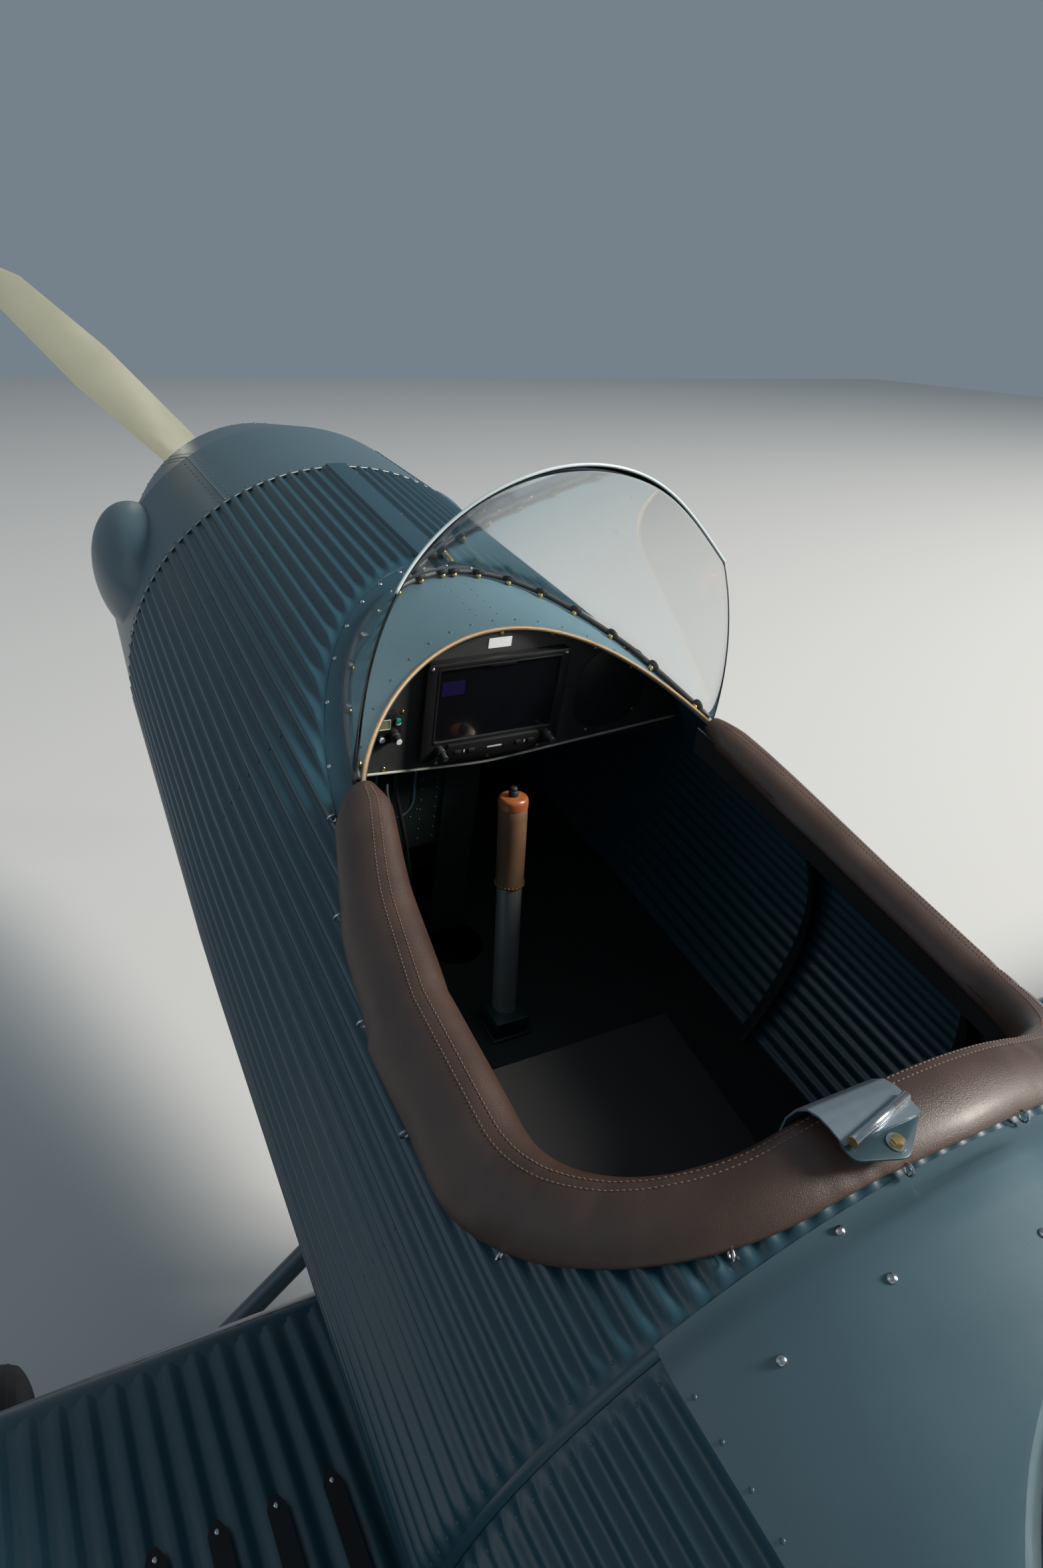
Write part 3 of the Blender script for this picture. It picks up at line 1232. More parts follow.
# name, finish, slot, profile, station, places out and up
TURNED_PARTS = [
    ("display_knobs", knob_black, "display_black", KNOB, DISPLAY_FACE, [(0.103, -0.0755), (-0.112, -0.0755)]),
    ("display_screws", steel, "stick_metal", SCREW, DISPLAY_FACE, [(0.129, 0.091), (-0.129, 0.091)]),
    ("panel_screws", brass, "stick_metal", SCREW, SCREW_AT, PANEL_SCREWS),
]
for name, panel in COCKPITS.items():
    mid = PANEL_MIDDLE[name]
    fittings(DISPLAY_PARTS, f"_{name}", panel + DISPLAY_FACE, mid)
    for part, material, slot, profile, x, spots in TURNED_PARTS:
        places = [(panel + x, out, up + mid) for out, up in spots]
        stand(copies(f"{part}_{name}", turned(profile), places, AFT, material), slot)
    fittings(PANEL_PARTS, f"_{name}", panel, mid)

    # the pale lower edge of the panel and the brown trim round its upper edge
    outs = np.linspace(-PANEL_HALF, PANEL_HALF, 60)
    slope = np.hypot(outs, PANEL_BEND) - PANEL_BEND
    edge = rows_of(panel - 0.001, outs, mid + PANEL_LOW + PANEL_RISE * slope)
    stand(rod(f"panel_edge_{name}", edge, 0.0026, pale_edge), "panel_black")
    outs = np.linspace(-RIM_HALF, RIM_HALF, 90)
    ahead = panel + opening_front(outs)
    trim = rows_of(ahead + TRIM_AHEAD, outs, body_point(ahead, turn_at(ahead, outs), TRIM_LIFT)[2])
    stand(rod(f"rim_trim_{name}", trim, 0.0036, trim_brown), "coaming_leather")
print("display, knobs, screws and trim are on")

# %% Radio and what shows below the panel
RADIO_OUT, RADIO_UP, LCD_OUT = 0.207, -0.017, 0.2135
LCD = (LCD_OUT, -0.0075)
KNOB_OUT, KNOB_UP, KNOB_LONG = 0.191, -0.027, 0.0281
corners = [(0.031, 0.020), (0.020, 0.031), (-0.020, 0.031), (-0.031, 0.020)]
corners += [(-out, -up) for out, up in corners]
octagon = [(RADIO_OUT + out, RADIO_UP + up) for out, up in corners]
RADIO_PARTS = [
    ("radio_case", case_black, "display_black", [([octagon], 0, 0.0120, 0.0010)], "radio"),
    ("radio_frame", pale_edge, "display_black", [
        ([(LCD_OUT, -0.008, 0.033, 0.020, 0.001), (*LCD, 0.030, 0.0165, 0.001)], -0.0014, 0.001, 0.0003),
    ]),
    ("radio_lcd", lcd_green, "display_black", [([(*LCD, 0.031, 0.0175, 0.001)], -0.0005, 0.001, 0)]),
    ("radio_green_button", green_plastic, "display_black", [
        ([(0.184, -0.002, 0.009, 0.009, 0.002)], -0.0042, 0, 0.0005),
    ]),
    ("radio_white_buttons", label_white, "display_black", [
        ([(0.1835, -0.0065, 0.0095, 0.008, 0.0038)], -0.0028, 0, 0.0004),
        ([(0.211, -0.037, 0.011, 0.0095, 0.0045)], -0.0040, 0, 0.0006),
    ]),
]
fittings(RADIO_PARTS, "", RADIO_FACE, 0)
RADIO_KNOB = [(0.0092, 0), (0.0090, 0.013), (0.0066, 0.0145), (0.0066, 0.027), (0.0058, 0.0282)]
RADIO_CAP = [(0.0054, 0), (0.0050, 0.0008)]
for part, profile, x, material in (
    ("radio_knob", RADIO_KNOB, RADIO_FACE, knob_black),
    ("radio_knob_cap", RADIO_CAP, RADIO_FACE - KNOB_LONG, label_white),
):
    stand(copies(part, turned(profile), [(x, KNOB_OUT, KNOB_UP)], AFT, material), "display_black")

LEG_SHEET = ([(0.150, -0.245, 0.230, 0.230, 0.012)], 0.060, 0.0612, 0)
UPRIGHT = ([(0.010, -0.365, 0.074, 0.490, 0.004)], 0.0545, 0.0560, 0)
HOLE_X, HOLE_OUT, HOLE_BESIDE, HOLE_SIZE, HOLE_SIZE_MIDDLE = 0.0544, 0.010, 0.022, 0.9, 1.35
# the round-ended bead pressed into the leg sheet, and the rivets round it
BEAD_X, BEAD_OUT, BEAD_UP, BEAD_TOP, BEAD_HALF, BEAD_DEEP = 0.0595, 0.147, -0.236, -0.140, 0.039, 0.043
RIVETS_HALF, RIVETS_DEEP = 0.056, 0.060
CABLE = np.array([
    (0.045, 0.150, -0.120), (0.05, 0.152, -0.20), (0.052, 0.120, -0.33), (0.05, 0.100, -0.46),
    (0.05, 0.09, -0.60),
])
for name, panel in COCKPITS.items():
    mid = PANEL_MIDDLE[name]
    fittings([("leg_sheet", inner_green, "frame_paint", [LEG_SHEET])], f"_{name}", panel, mid)
    bend = np.radians(np.linspace(360, 180, 24))
    bead = [(BEAD_OUT + BEAD_HALF, BEAD_TOP)]
    bead += zip(BEAD_OUT + BEAD_HALF * np.cos(bend), BEAD_UP + BEAD_DEEP * np.sin(bend))
    bead += [(BEAD_OUT - BEAD_HALF, BEAD_TOP)]
    bead = [(panel + BEAD_X, out, up + mid) for out, up in bead]
    stand(rod(f"leg_bead_{name}", bead, 0.0028, deck_paint), "frame_paint")
    around = np.radians(np.linspace(190, 350, 9))
    spots = list(zip(BEAD_OUT + RIVETS_HALF * np.cos(around), BEAD_UP + RIVETS_DEEP * np.sin(around)))
    spots += [(out, up) for out in (0.092, 0.061) for up in np.arange(-0.340, -0.140, 0.024)]
    spots = [(panel + BEAD_X, out, up + mid) for out, up in spots]
    stand(copies(f"leg_rivets_{name}", dome(0.0022, 0.0013, 8), spots, AFT, rivet_paint), "frame_paint")
    fittings([("upright", inner_green, "frame_paint", [UPRIGHT])], f"_{name}", panel, mid)
    holes, sizes = [], []
    for beside in (-1, 0, 1):
        for up in np.arange(-0.59, -0.15, 0.0265):
            holes.append((panel + HOLE_X, HOLE_OUT + HOLE_BESIDE * beside, up + mid))
            sizes.append(HOLE_SIZE if beside else HOLE_SIZE_MIDDLE)
    disc = turned([(0.0058, 0), (0.0056, 0.0002)], 16)
    stand(copies(f"upright_holes_{name}", disc, holes, AFT, knob_black, sizes=sizes), "frame_paint")
    reach = np.linspace(0, len(CABLE) - 1, 40)
    cable = soften(picked(reach, range(len(CABLE)), CABLE), 6) + (panel, 0, mid)
    stand(rod(f"cable_{name}", cable, 0.0045, black_rubber), "frame_paint")

# %% [markdown]
# ## Control sticks
#
# Each stick is a tube in a square socket, with a stitched leather grip, a wooden cap and a push
# button. All of it is turned round one leaning axis.

# %% Sticks
STICK_FOOT, STICK_HEAD = Vector((-0.218, 0, -0.6197)), Vector((-0.121, 0, -0.123))
stick_long = (STICK_HEAD - STICK_FOOT).length
stick_up = (STICK_HEAD - STICK_FOOT).normalized()
tube_grey = finish("tube_grey", (0.30, 0.31, 0.30), 0.36, metal=0.5, vary=0.06, scale=30)
tan_leather = finish(
    "tan_leather", (0.135, 0.072, 0.036), 0.5, vary=0.25, scale=30, bump=0.7, bump_scale=700, coat=0.08
)
orange_wood = finish("orange_wood", (0.30, 0.085, 0.026), 0.3, vary=0.35, scale=60, coat=0.4)
socket_green = finish("socket_green", (0.004, 0.022, 0.020), 0.4, vary=0.2)
cream_thread = finish("cream_thread", (0.42, 0.26, 0.13), 0.7)
GRIP_LOW, STITCH_RING, STITCH_UP = 0.182, 0.0277, 0.0045
# finish, slot, profile of radius and height above the head
STICK_PARTS = {
    "tube": (tube_grey, "stick_metal", [(0.0235, -stick_long), (0.0235, -0.02)]),
    "grip": (tan_leather, "coaming_leather", [
        (0.0240, -GRIP_LOW), (0.0268, -GRIP_LOW), (0.0278, -GRIP_LOW + 0.003), (0.0272, -GRIP_LOW + 0.008),
        (0.0260, -GRIP_LOW + 0.012), (0.0264, -0.10), (0.0266, -0.040), (0.0262, -0.022), (0.0250, -0.020),
    ]),
    "cap": (orange_wood, "coaming_leather", [
        (0.0255, -0.0215), (0.0272, -0.0205), (0.0275, -0.010), (0.0268, -0.0055), (0.0245, -0.0020),
        (0.0215, -0.0008), (0.0060, -0.0004),
    ]),
    "button": (knob_black, "display_black", [
        (0.0088, -0.0006), (0.0088, 0.0085), (0.0080, 0.0095), (0.0066, 0.0097), (0.0066, 0.0150),
        (0.0055, 0.0165), (0.0035, 0.0170),
    ]),
}
# the two blocks of a socket: half width and height
SOCKET = ((0.036, 0.046), (0.042, 0.006))
for name, panel in COCKPITS.items():
    head, foot = [end + Vector((panel, 0, 0)) for end in (STICK_HEAD, STICK_FOOT)]
    for part, (material, slot, profile) in STICK_PARTS.items():
        piece = copies(f"stick_{part}_{name}", turned(profile, 40), [head], stick_up, material)
        stand(smooth(piece), slot, *([f"stick_{name}"] if part == "tube" else []))
    socket = []
    for half, high in SOCKET:
        bpy.ops.mesh.primitive_cube_add(size=1)
        cube = bpy.context.object
        size = Matrix.Diagonal((2 * half, 2 * half, high, 1))
        cube.data.transform(Matrix.Translation(foot + Vector((0, 0, high / 2))) @ size)
        socket.append(modify(cube, "BEVEL", width=0.004, segments=3))
    stand(smooth(join(socket, f"stick_socket_{name}", socket_green)), "stick_metal")
    around = np.radians(np.arange(0, 360, 15))[:, None]
    side, fore = np.array((0, 1, 0)), np.array(Vector((0, 1, 0)).cross(stick_up))
    ways = side * np.cos(around) + fore * np.sin(around)
    spots = np.array(head - stick_up * (GRIP_LOW - STITCH_UP)) + ways * STITCH_RING
    leads = fore * np.cos(around) - side * np.sin(around) + np.array(stick_up) * 0.5
    seam = copies(f"stick_stitches_{name}", stitch(0.0027, 0.0009), spots, ways, cream_thread, leads=leads)
    stand(seam, "coaming_leather")

# %% [markdown]
# ## Finishes for the pieces that stay as they are
#
# Cowls, legs, wheels, seats and the rest keep the shape of their solids and only get a finish. A
# table says which finish goes on which piece, by the start of its name, and one loop hands them out.

# %% Finishes by name
leg_paint = finish("leg_paint", (0.060, 0.100, 0.122), 0.38, vary=0.10, bump=0.05, coat=0.2)
cast_metal = finish("cast_engine", (0.30, 0.30, 0.31), 0.5, metal=0.8, vary=0.15, bump=0.4, bump_scale=300)
seat_black = finish(
    "seat_black", (0.007, 0.0065, 0.0065), 0.6, vary=0.25, scale=12, bump=0.5, bump_scale=800, coat=0.1
)
blade_cream = finish("blade_cream", (0.27, 0.275, 0.21), 0.30, vary=0.10, scale=6, bump=0.04, coat=0.35)
tyre_black = finish("tyre_black", (0.016, 0.016, 0.017), 0.72, vary=0.25, scale=30, bump=0.5, bump_scale=500)
rim_metal = finish("turned_rim", (0.55, 0.56, 0.57), 0.28, metal=1.0, vary=0.06, scale=40, bump=0.1)
walkway_black = finish(
    "walkway_black", (0.010, 0.010, 0.011), 0.85, vary=0.5, scale=600, bump=1.0, bump_scale=1500
)
NODE_FINISHES = {
    "firewall": inner_green, "floor": inner_green, "bulkhead": inner_green, "cowl": deck_paint,
    "nose_bowl": deck_paint, "engine": cast_metal, "fin": skin_paint, "rudder": skin_paint,
    "leg": leg_paint, "panel": crinkle, "propeller": blade_cream, "rim": rim_metal, "seat": seat_black,
    "tail_fork": leg_paint, "tail_spring": steel, "tail_wheel": tyre_black, "tailplane": skin_paint,
    "elevator": skin_paint, "tyre": tyre_black, "wing": skin_paint, "aileron": skin_paint,
    "body_tail": skin_paint, "walkway": walkway_black,
}
for node, piece in frame["nodes"].items():
    chosen = [material for start, material in NODE_FINISHES.items() if node.startswith(start)]
    for place in piece.material_slots if chosen else []:
        place.material = chosen[0]
print("finishes by name", len(NODE_FINISHES))

# %% [markdown]
# ## Ridged sheets on the wings and the tail
#
# The wings and tail surfaces are solid and smooth, and their covering runs in ridges from front to
# back. Rays shot at a solid give its surface at every point of a grid, and the ridges are added to
# that. The ends of the ridges are pressed flat, as on the body.

# %% Ridged covering
RIB_PITCH, RIB_CREST, RIB_GROOVE, RIB_FLAT = 0.0367, 0.0080, 0.0006, 0.045
RIB_COLUMNS, RIB_ROWS, EDGE_INSET, CAST_FROM = 6, 16, 0.010, 3.0
# a height that differs from its neighbours' middle one by more than this is taken as a miss
CALM, CALM_WITHIN = 5, 0.003


class Surface:
    """A solid's surface in the level jig, felt along one axis: 2 for wings, 1 for fins."""

    def __init__(self, node, axis):
        mesh = frame["nodes"][node].data
        points = [LEVEL_BACK @ vertex.co for vertex in mesh.vertices]
        self.tree = BVHTree.FromPolygons(points, [tuple(face.vertices) for face in mesh.polygons])
        self.reach = np.array(points)
        self.axis, self.out = axis, 3 - axis

    def at(self, x, out, side):
        """Height of the surface at a station and a distance out, felt from one side."""
        start, way = [x, 0.0, 0.0], [0.0, 0.0, 0.0]
        start[self.out], start[self.axis], way[self.axis] = out, side * CAST_FROM, -side
        hit = self.tree.ray_cast(Vector(start), Vector(way))[0]
        return math.nan if hit is None else hit[self.axis]

    def ends(self, out, side):
        """Front and back of the surface at a distance out."""
        stations = np.linspace(self.reach[:, 0].max(), self.reach[:, 0].min(), 90)
        felt = [x for x in stations if not math.isnan(self.at(x, out, side))]
        return (max(felt), min(felt)) if felt else (math.nan, math.nan)


def clad(surface, first, last, side, inset=EDGE_INSET):
    """A ridged sheet on one side of a solid, between two distances out, so far back from its front."""
    ridges = max(2, round(abs(last - first) / RIB_PITCH))
    across = ridges * RIB_COLUMNS
    outs, steps = np.linspace(first, last, across + 1), np.linspace(0, 1, across + 1)
    ends = np.array([surface.ends(out, side) for out in np.linspace(first, last, ridges + 1)])
    felt = ~np.isnan(ends[:, 0])
    where = np.linspace(0, 1, ridges + 1)[felt]
    front = np.interp(steps, where, ends[felt, 0]) - inset
    back = np.interp(steps, where, ends[felt, 1]) + EDGE_INSET
    share = np.linspace(0, 1, RIB_ROWS + 1)[:, None] ** 1.25
    along = front + (back - front) * share
    heights = np.array([[surface.at(x, out, side) for x, out in zip(row, outs)] for row in along])
    wider = np.pad(heights, ((0, 0), (CALM, CALM)), mode="edge")
    calm = np.nanmedian([wider[:, k:k + across + 1] for k in range(2 * CALM + 1)], axis=0)
    heights = np.where(np.isnan(heights) | (np.abs(heights - calm) > CALM_WITHIN), calm, heights)
    full = pressed(front - along, RIB_FLAT) * pressed(along - back, RIB_FLAT)
    wave = (1 - crests(np.arange(across + 1) / RIB_COLUMNS)) * full
    heights = heights + side * (RIB_GROOVE + (RIB_CREST - RIB_GROOVE) * wave)

    def wrap(u, v):
        column, row = np.rint(u * across).astype(int), np.rint(v * RIB_ROWS).astype(int)
        place = [along[row, column], None, None]
        place[surface.out], place[surface.axis] = outs[column], heights[row, column]
        return place

    return grid(across, RIB_ROWS, wrap)


def clad_piece(name, surface, body, *spans, inset=EDGE_INSET):
    """The ridged covering of both sides of a solid."""
    sheets = [clad(surface, first, last, side, inset) for first, last in spans for side in (1, -1)]
    stand(smooth(join(sheets, name, skin_paint), 70), "corrugated_skin", body=body)


# distances out from the middle; the covering of the wing leaves a gap at each end of the aileron
WING_SPANS = [(0.34, 2.696), (2.704, 4.556), (4.564, 4.97)]
AILERON_SPAN, TAILPLANE_SPAN, ELEVATOR_SPAN = (2.712, 4.548), (0.07, 1.44), (0.125, 1.318)
# the covering of a surface that swings starts behind its round nose
HINGE_INSET = 0.044


def both_ends(side, span):
    """A span on one side of the aeroplane."""
    return side * span[0], side * span[1]


wings = {word: Surface(f"wing_{word}", 2) for _, word in SIDES}
for side, word in SIDES:
    clad_piece(f"wing_skin_{word}", wings[word], "airframe", *[both_ends(side, span) for span in WING_SPANS])
    aileron = f"aileron_{word}"
    span = both_ends(side, AILERON_SPAN)
    clad_piece(f"aileron_skin_{word}", Surface(aileron, 2), aileron, span, inset=HINGE_INSET)
    tailplane = Surface(f"tailplane_{word}", 2)
    clad_piece(f"tailplane_skin_{word}", tailplane, "airframe", both_ends(side, TAILPLANE_SPAN))
spans = [both_ends(side, ELEVATOR_SPAN) for side, _ in SIDES]
clad_piece("elevator_skin", Surface("elevator", 2), "elevator", *spans, inset=HINGE_INSET)
clad_piece("fin_skin", Surface("fin", 1), "airframe", (0.075, 0.785))
clad_piece("rudder_skin", Surface("rudder", 1), "rudder", (0.280, 0.755), inset=HINGE_INSET)

# %% Walkway strips on the ridges
STRIP_FRONT, STRIP_FIRST, STRIP_PITCH, STRIP_COUNT = -0.842, 0.569, 0.073, 5
STRIP_LONG, STRIP_WIDE, STRIP_THICK, STRIP_SCREW = 0.900, 0.024, 0.003, 0.014
STRIP_TAPER, STRIP_CLEAR = 0.010, 0.0003
for side, word in SIDES:
    surface = wings[word]
    strips, screws = [], []
    for middle in STRIP_FIRST + np.arange(STRIP_COUNT) * STRIP_PITCH:

        def wrap(u, v):
            x = STRIP_FRONT - STRIP_LONG * v
            tip = np.clip(np.minimum(v, 1 - v) * STRIP_LONG / STRIP_TAPER, 0.15, 1)
            y = middle + (u - 0.5) * STRIP_WIDE * np.sqrt(tip)
            z = np.array([surface.at(at, side * middle, 1) for at in x])
            return x, side * y, z + RIB_CREST + STRIP_THICK + STRIP_CLEAR

        strips.append(modify(grid(4, 60, wrap), "SOLIDIFY", thickness=STRIP_THICK, offset=-1 * side))
        for x in STRIP_FRONT - np.array((STRIP_SCREW, STRIP_LONG / 2, STRIP_LONG - STRIP_SCREW)):
            screws.append((x, side * middle, surface.at(x, side * middle, 1) + RIB_CREST + STRIP_THICK))
    strips = tidy_mesh(join(strips, f"walkway_strips_{word}", walkway_black))
    stand(smooth(strips, 40), "walkway_rubber", f"walkway_{word}")
    stand(copies(f"walkway_screws_{word}", turned(SCREW), screws, UP, steel), "stick_metal")

# %% [markdown]
# ## Frames, belt bracket and lacing hooks
#
# Inside the shell stand riveted frames. Each is a strip of sheet with a bent-in web, so a grid of a
# few points across follows the inside of the body. The bracket for the shoulder belts sits on the
# rear of the roll, and the roll is laced to small rings.

# %% Frames inside the cockpits
FRAME_TOP = {"front": -0.130, "rear": -0.180}
FRAMES_AT = (-0.420, -0.790)
FRAME_END, FRAME_RIVETS_AT, FRAME_RIVETS_IN = 2.35, 0.013, -0.0088
# along the body, and in from the skin
FRAME_PROFILE = np.array([
    (0.024, -0.0078), (0.001, -0.0078), (-0.001, -0.0090), (-0.001, -0.032), (-0.003, -0.034),
    (-0.014, -0.034),
])


def on_body(x, turn, lift, rows=BODY, way=0.01):
    """Places on the body and the way the surface faces there."""
    foot, tip = [rows_of(*body_point(x, turn, high, rows)) for high in (lift, lift + way)]
    return foot, tip - foot


def heads(name, spots, radius, high, material, slot="corrugated_skin", around=8):
    """Domes at a list of (places, facing) pairs."""
    places, facing = [np.concatenate(part) for part in zip(*spots)]
    return stand(copies(name, dome(radius, high, around), places, facing, material), slot)


turns = np.linspace(0.05, 1, 200)
frame_rivets = []
for name, panel in COCKPITS.items():
    hoops = []
    for x in (panel + away for away in FRAMES_AT):
        start = float(np.interp(-FRAME_TOP[name], -body_point(x, turns)[2], turns))
        for side, _ in SIDES:

            def wrap(u, v):
                where = np.rint(u * (len(FRAME_PROFILE) - 1)).astype(int)
                turn = side * (start + (FRAME_END - start) * v)
                return body_point(x + FRAME_PROFILE[where, 0], turn, FRAME_PROFILE[where, 1])

            hoop = grid(len(FRAME_PROFILE) - 1, 60, wrap)
            hoops.append(modify(hoop, "SOLIDIFY", thickness=PLATE_SHEET, offset=0))
            reach = side * np.linspace(start + 0.04, 2.3, 30)
            frame_rivets.append(on_body(x + FRAME_RIVETS_AT, reach, FRAME_RIVETS_IN, way=-0.01))
    stand(smooth(join(hoops, f"hoops_{name}", inner_green), 40), "frame_paint")
heads("hoop_rivets", frame_rivets, 0.0026, 0.0016, rivet_paint, "frame_paint")

# %% Belt bracket
BRACKET_Z, BRACKET_SHEET, BRACKET_ROUND = 0.1545, 0.003, 0.010
bracket_teal = finish("bracket_teal", (0.030, 0.062, 0.078), 0.32, metal=0.3, vary=0.12, scale=40, coat=0.2)
bracket_pale = finish("bracket_pale", (0.20, 0.25, 0.29), 0.30, metal=0.5, vary=0.12, scale=40)
CORNERS = [(-1.024, 0.050), (-1.024, 0.152), (-1.050, 0.152), (-1.068, 0.097), (-1.034, 0.050)]
# the pale strap bends down into the cockpit: station and height, and its port edge and width
STRAP = np.array([
    (-1.034, 0.1590), (-1.012, 0.1590), (-0.998, 0.1570), (-0.984, 0.1500), (-0.973, 0.1360),
    (-0.9665, 0.1150), (-0.9655, 0.06), (-0.9655, -0.02),
])
STRAP_FROM, STRAP_WIDE = 0.049, 0.102
ROD_ENDS = [Vector((-1.036, 0.144, 0.1645)), Vector((-1.015, 0.054, 0.1645))]
BELT_RING = [(0.0030, 0), (0.0056, 0), (0.0060, 0.0006), (0.0056, 0.0012), (0.0030, 0.0012)]
BELT_WASHER = [(0.0035, 0), (0.0105, 0), (0.0105, 0.0014), (0.0035, 0.0014)]
BELT_HEAD = [(0.0070, 0.001), (0.0070, 0.0055), (0.0060, 0.0066), (0.0030, 0.0070)]


def rounded_corners(corners, radius):
    """An outline with its corners replaced by short curves."""
    outline = []
    for before, corner, after in zip(corners[-1:] + corners[:-1], corners, corners[1:] + corners[:1]):
        corner = np.array(corner)
        ways = [np.array(other) - corner for other in (before, after)]
        ends = [corner + unit(way) * min(radius, np.linalg.norm(way) / 2.2) for way in ways]
        for t in np.arange(7) / 6:
            outline.append(tuple(ends[0] * (1 - t) ** 2 + corner * 2 * t * (1 - t) + ends[1] * t**2))
    return outline


lay_flat = Matrix(((0, 1, 0, 0), (0, 0, 1, 0), (1, 0, 0, 0), (0, 0, 0, 1)))
for name, panel in COCKPITS.items():
    rise = float(body_point(panel - 1.03, 0.16)[2] - body_point(-1.03, 0.16)[2])
    shift = Vector((panel, 0, rise))
    sheet = prism([rounded_corners(CORNERS, BRACKET_ROUND)], BRACKET_Z, BRACKET_Z + BRACKET_SHEET)
    sheet.data.transform(Matrix.Translation(shift) @ lay_flat)
    stand(hold(sheet, f"belt_bracket_{name}", bracket_teal), "frame_paint")

    def wrap(u, v):
        x, z = picked(v * (len(STRAP) - 1), range(len(STRAP)), STRAP).T
        return x + panel, STRAP_FROM + STRAP_WIDE * u, z + rise

    strap = modify(grid(8, 28, wrap), "SOLIDIFY", thickness=0.0022, offset=0)
    stand(smooth(hold(strap, f"belt_strap_{name}", bracket_pale), 60), "frame_paint")
    ends = [tuple(end + shift) for end in ROD_ENDS]
    stand(rod(f"belt_rod_{name}", ends, 0.0052, steel, sides=6), "stick_metal")
    foot = (panel - 1.050, 0.098, BRACKET_Z + BRACKET_SHEET + rise)
    way = ROD_ENDS[0] - ROD_ENDS[1]
    for part, profile, sides, place, facing, material in (
        ("ring", BELT_RING, 20, ends[0], way, brass),
        ("washer", BELT_WASHER, 28, foot, UP, steel),
        ("screw", BELT_HEAD, 6, foot, UP, brass),
    ):
        stand(copies(f"belt_{part}_{name}", turned(profile, sides), [place], facing, material), "stick_metal")

# %% Lacing hooks round the rolls
HOOK_R, HOOK_WIRE, HOOK_RISE, HOOK_CLEAR = 0.0062, 0.0014, 0.0085, 0.0015
for name, panel in COCKPITS.items():
    flat, outward, long = coaming_route(panel)
    out, _ = roll_section(flat, long, panel)
    spots = on_deck(flat[laced], outward[laced], out[laced, 3:4] + HOOK_CLEAR, HOOK_RISE)
    ways = np.pad(np.gradient(flat, axis=0)[laced], ((0, 0), (0, 1)))
    stand(copies(f"lacing_hooks_{name}", ring(HOOK_R, HOOK_WIRE, 20), spots, ways, steel), "stick_metal")

# %% [markdown]
# ## Rivets and screws
#
# The skin is held by hundreds of small rivets in the grooves, in rows across the body where a frame
# stands inside. One low dome is copied to all of them. Silver screws hold the smooth deck, and the
# cowl has a row of rivets on each side of its hinged edges.

# %% Rivets on the body
FRONT_ROWS = (0.832, 0.560, 0.300, 0.020, -0.407, -0.777, -1.052)
MIDDLE_ROWS = (-1.092, -1.907, -2.277, -2.535)
GROOVE_LIFT, FLANGE_CLEAR = GROOVE + 0.0001, 0.045
table = np.linspace(0, 3, 3001)
grooves = np.interp(np.arange(0.5, sum(RIDGES), 1), ridge_number(table), table)
grooves = np.concatenate((-grooves[::-1], grooves))
rivet_rows = []
for x in FRONT_ROWS:
    out = np.abs(body_point(x, grooves)[1])
    bare = (np.abs(grooves) > EDGE) | (x > flange_edge(out) + FLANGE_CLEAR)
    rivet_rows.append(on_body(x, grooves[bare], GROOVE_LIFT))
for x in MIDDLE_ROWS:
    rivet_rows.append(on_body(x, grooves[np.abs(grooves) > DECK_EDGE], GROOVE_LIFT))
heads("skin_rivets", rivet_rows, 0.0024, 0.0013, rivet_paint)

# %% Rivets and screws on the smooth plates
RIM_ROW, RIM_STEP = 0.036, 0.043
FLANGE_SCREW_IN, FLANGE_SCREW_LIFT = 0.011, -0.0058
# the rows along the edges of the rear deck leave out the rear opening
EDGE_ROW_FROM, EDGE_ROW_TO, EDGE_ROW_STEP, EDGE_ROW_IN = -1.12, -2.50, 0.040, 0.012
BREAK_AT, BREAK_HALF = -1.9, 0.42
plate_rows, small_rows = [], []
for panel in COCKPITS.values():
    out = np.arange(-7, 7.1) * RIM_STEP
    x = panel + opening_front(out) + RIM_ROW
    plate_rows.append(on_body(x, turn_at(x, out), SCUTTLE_LIFT if panel == 0 else DECK_LIFT))
for out in (-0.020, 0.020):
    x = np.arange(0.060, 0.200, 0.026)
    small_rows.append(on_body(x, turn_at(x, np.full(x.shape, out)), SCUTTLE_LIFT))
heads("scuttle_rivets", plate_rows, 0.0034, 0.0018, rivet_paint, "cowl_paint")
heads("scuttle_small_rivets", small_rows, 0.0021, 0.0012, rivet_paint, "cowl_paint")
turns = np.linspace(-0.46, 0.46, 16)
edge = crossing(flange_edge, 0, 0.1)(turns)
flange_row = on_body(edge - FLANGE_SCREW_IN, turns, FLANGE_SCREW_LIFT)
heads("flange_screws", [flange_row], 0.0042, 0.0022, steel, "stick_metal", 12)

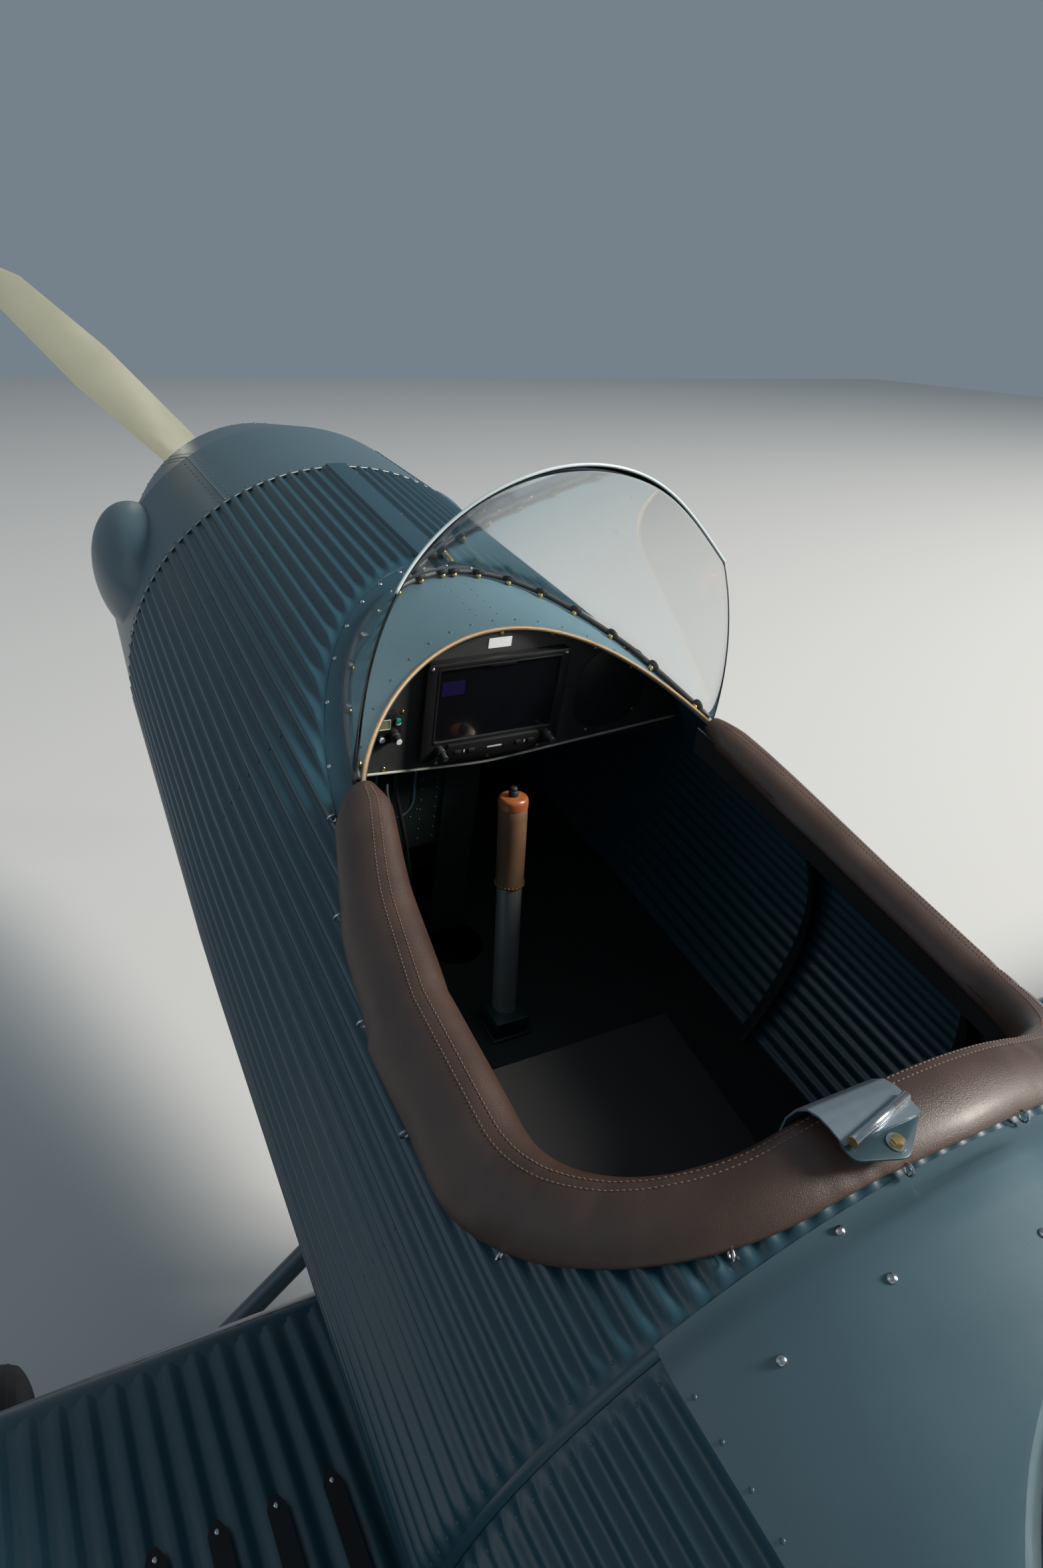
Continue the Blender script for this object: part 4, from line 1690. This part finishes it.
# out from the middle, station
DECK_SCREWS = [
    (0.170, -1.0780), (0.162, -1.137), (0.272, -1.139), (0.013, -1.169), (0.300, -1.320), (0.318, -1.520),
]
out, x = np.array([(side * out, x) for out, x in DECK_SCREWS for side in (1, -1)]).T
turns = turn_at(x, out)
places, facing = on_body(x, turns, np.where(x > COCKPITS["rear"], folded_deck(x, turns), DECK_LIFT))
screw = turned([(0.0052, 0.0), (0.0052, 0.0012), (0.0040, 0.0028), (0.0018, 0.0036), (0.0014, 0.0022)], 16)
stand(copies("deck_screws", screw, places, facing, steel), "stick_metal")
x = np.arange(EDGE_ROW_FROM, EDGE_ROW_TO, -EDGE_ROW_STEP)
x = x[np.abs(x - BREAK_AT) > BREAK_HALF]
edge_rows = [on_body(x, side * (DECK_EDGE - EDGE_ROW_IN), DECK_LIFT) for side, _ in SIDES]
heads("deck_edge_rivets", edge_rows, 0.0026, 0.0014, rivet_paint, "cowl_paint")

# %% Cowl seams
HINGE_OUT, COWL_LIFT = 0.250, 0.0002


def cowl_line(x, out, lift):
    """Places along the cowl so far out from the middle."""
    return on_body(x, turn_at(x, np.full(x.shape, out), COWL), lift, COWL)


cowl_rows = []
for side, _ in SIDES:
    for beside in (-0.013, 0.013):
        cowl_rows.append(cowl_line(np.arange(0.885, 1.545, 0.030), side * (HINGE_OUT + beside), COWL_LIFT))
for x, step in ((0.876, 0.045), (1.545, 0.060)):
    cowl_rows.append(on_body(x, np.arange(-1.8, 1.81, step), COWL_LIFT, COWL))
heads("cowl_rivets", cowl_rows, 0.0026, 0.0013, deck_paint, "cowl_paint")
nose_place = on_body(np.array([1.500]), np.array([0.02]), COWL_LIFT, COWL)
heads("nose_screw", [nose_place], 0.0046, 0.0024, steel, "stick_metal", 14)
band("cowl_joint", FIREWALL, 0.0022, 0.0012, material=pale_edge)
lines = [cowl_line(np.linspace(0.870, 1.552, 60), side * HINGE_OUT, 0.0004)[0] for side, _ in SIDES]
hinges = [rod("hinge", line, 0.0022, deck_paint) for line in lines]
stand(join(hinges, "cowl_hinges", deck_paint), "cowl_paint")

# %% Wheels: tread ribs and rim bolts
WHEEL_X, WHEEL_OUT, WHEEL_Z = -0.480, 1.000, -1.200
RIB_OFFSETS, RIB_WIRE, RIB_PROUD, BOLT_RING = (-0.036, -0.012, 0.012, 0.036), 0.0040, 0.0012, 0.052
BOLT = [(0.0075, -0.001), (0.0075, 0.0050), (0.0066, 0.0062), (0.0030, 0.0064)]
for side, word in SIDES:
    centre = Vector((WHEEL_X, side * WHEEL_OUT, WHEEL_Z))
    tyre = Surface(f"tyre_{word}", 2)
    ribs = []
    for offset in RIB_OFFSETS:
        radius = tyre.at(centre.x, centre.y + offset, 1) - centre.z
        rib = ring(radius - RIB_WIRE + RIB_PROUD, RIB_WIRE, 96)
        across = Matrix.Translation(centre + Vector((0, offset, 0)))
        rib.data.transform(across @ Matrix.Rotation(math.pi / 2, 4, "X"))
        ribs.append(rib)
    stand(smooth(join(ribs, f"tread_{word}", tyre_black)), "tyre", body=f"wheel_{word}")
    rim = Surface(f"rim_{word}", 1)
    places = []
    for angle in np.radians(np.arange(0, 360, 60)):
        x, z = centre.x + BOLT_RING * math.cos(angle), centre.z + BOLT_RING * math.sin(angle)
        places.append((x, rim.at(x, z, side), z))
    bolts = copies(f"rim_bolts_{word}", turned(BOLT, 6), places, (0, side, 0), steel)
    stand(bolts, "rim_metal", body=f"wheel_{word}")
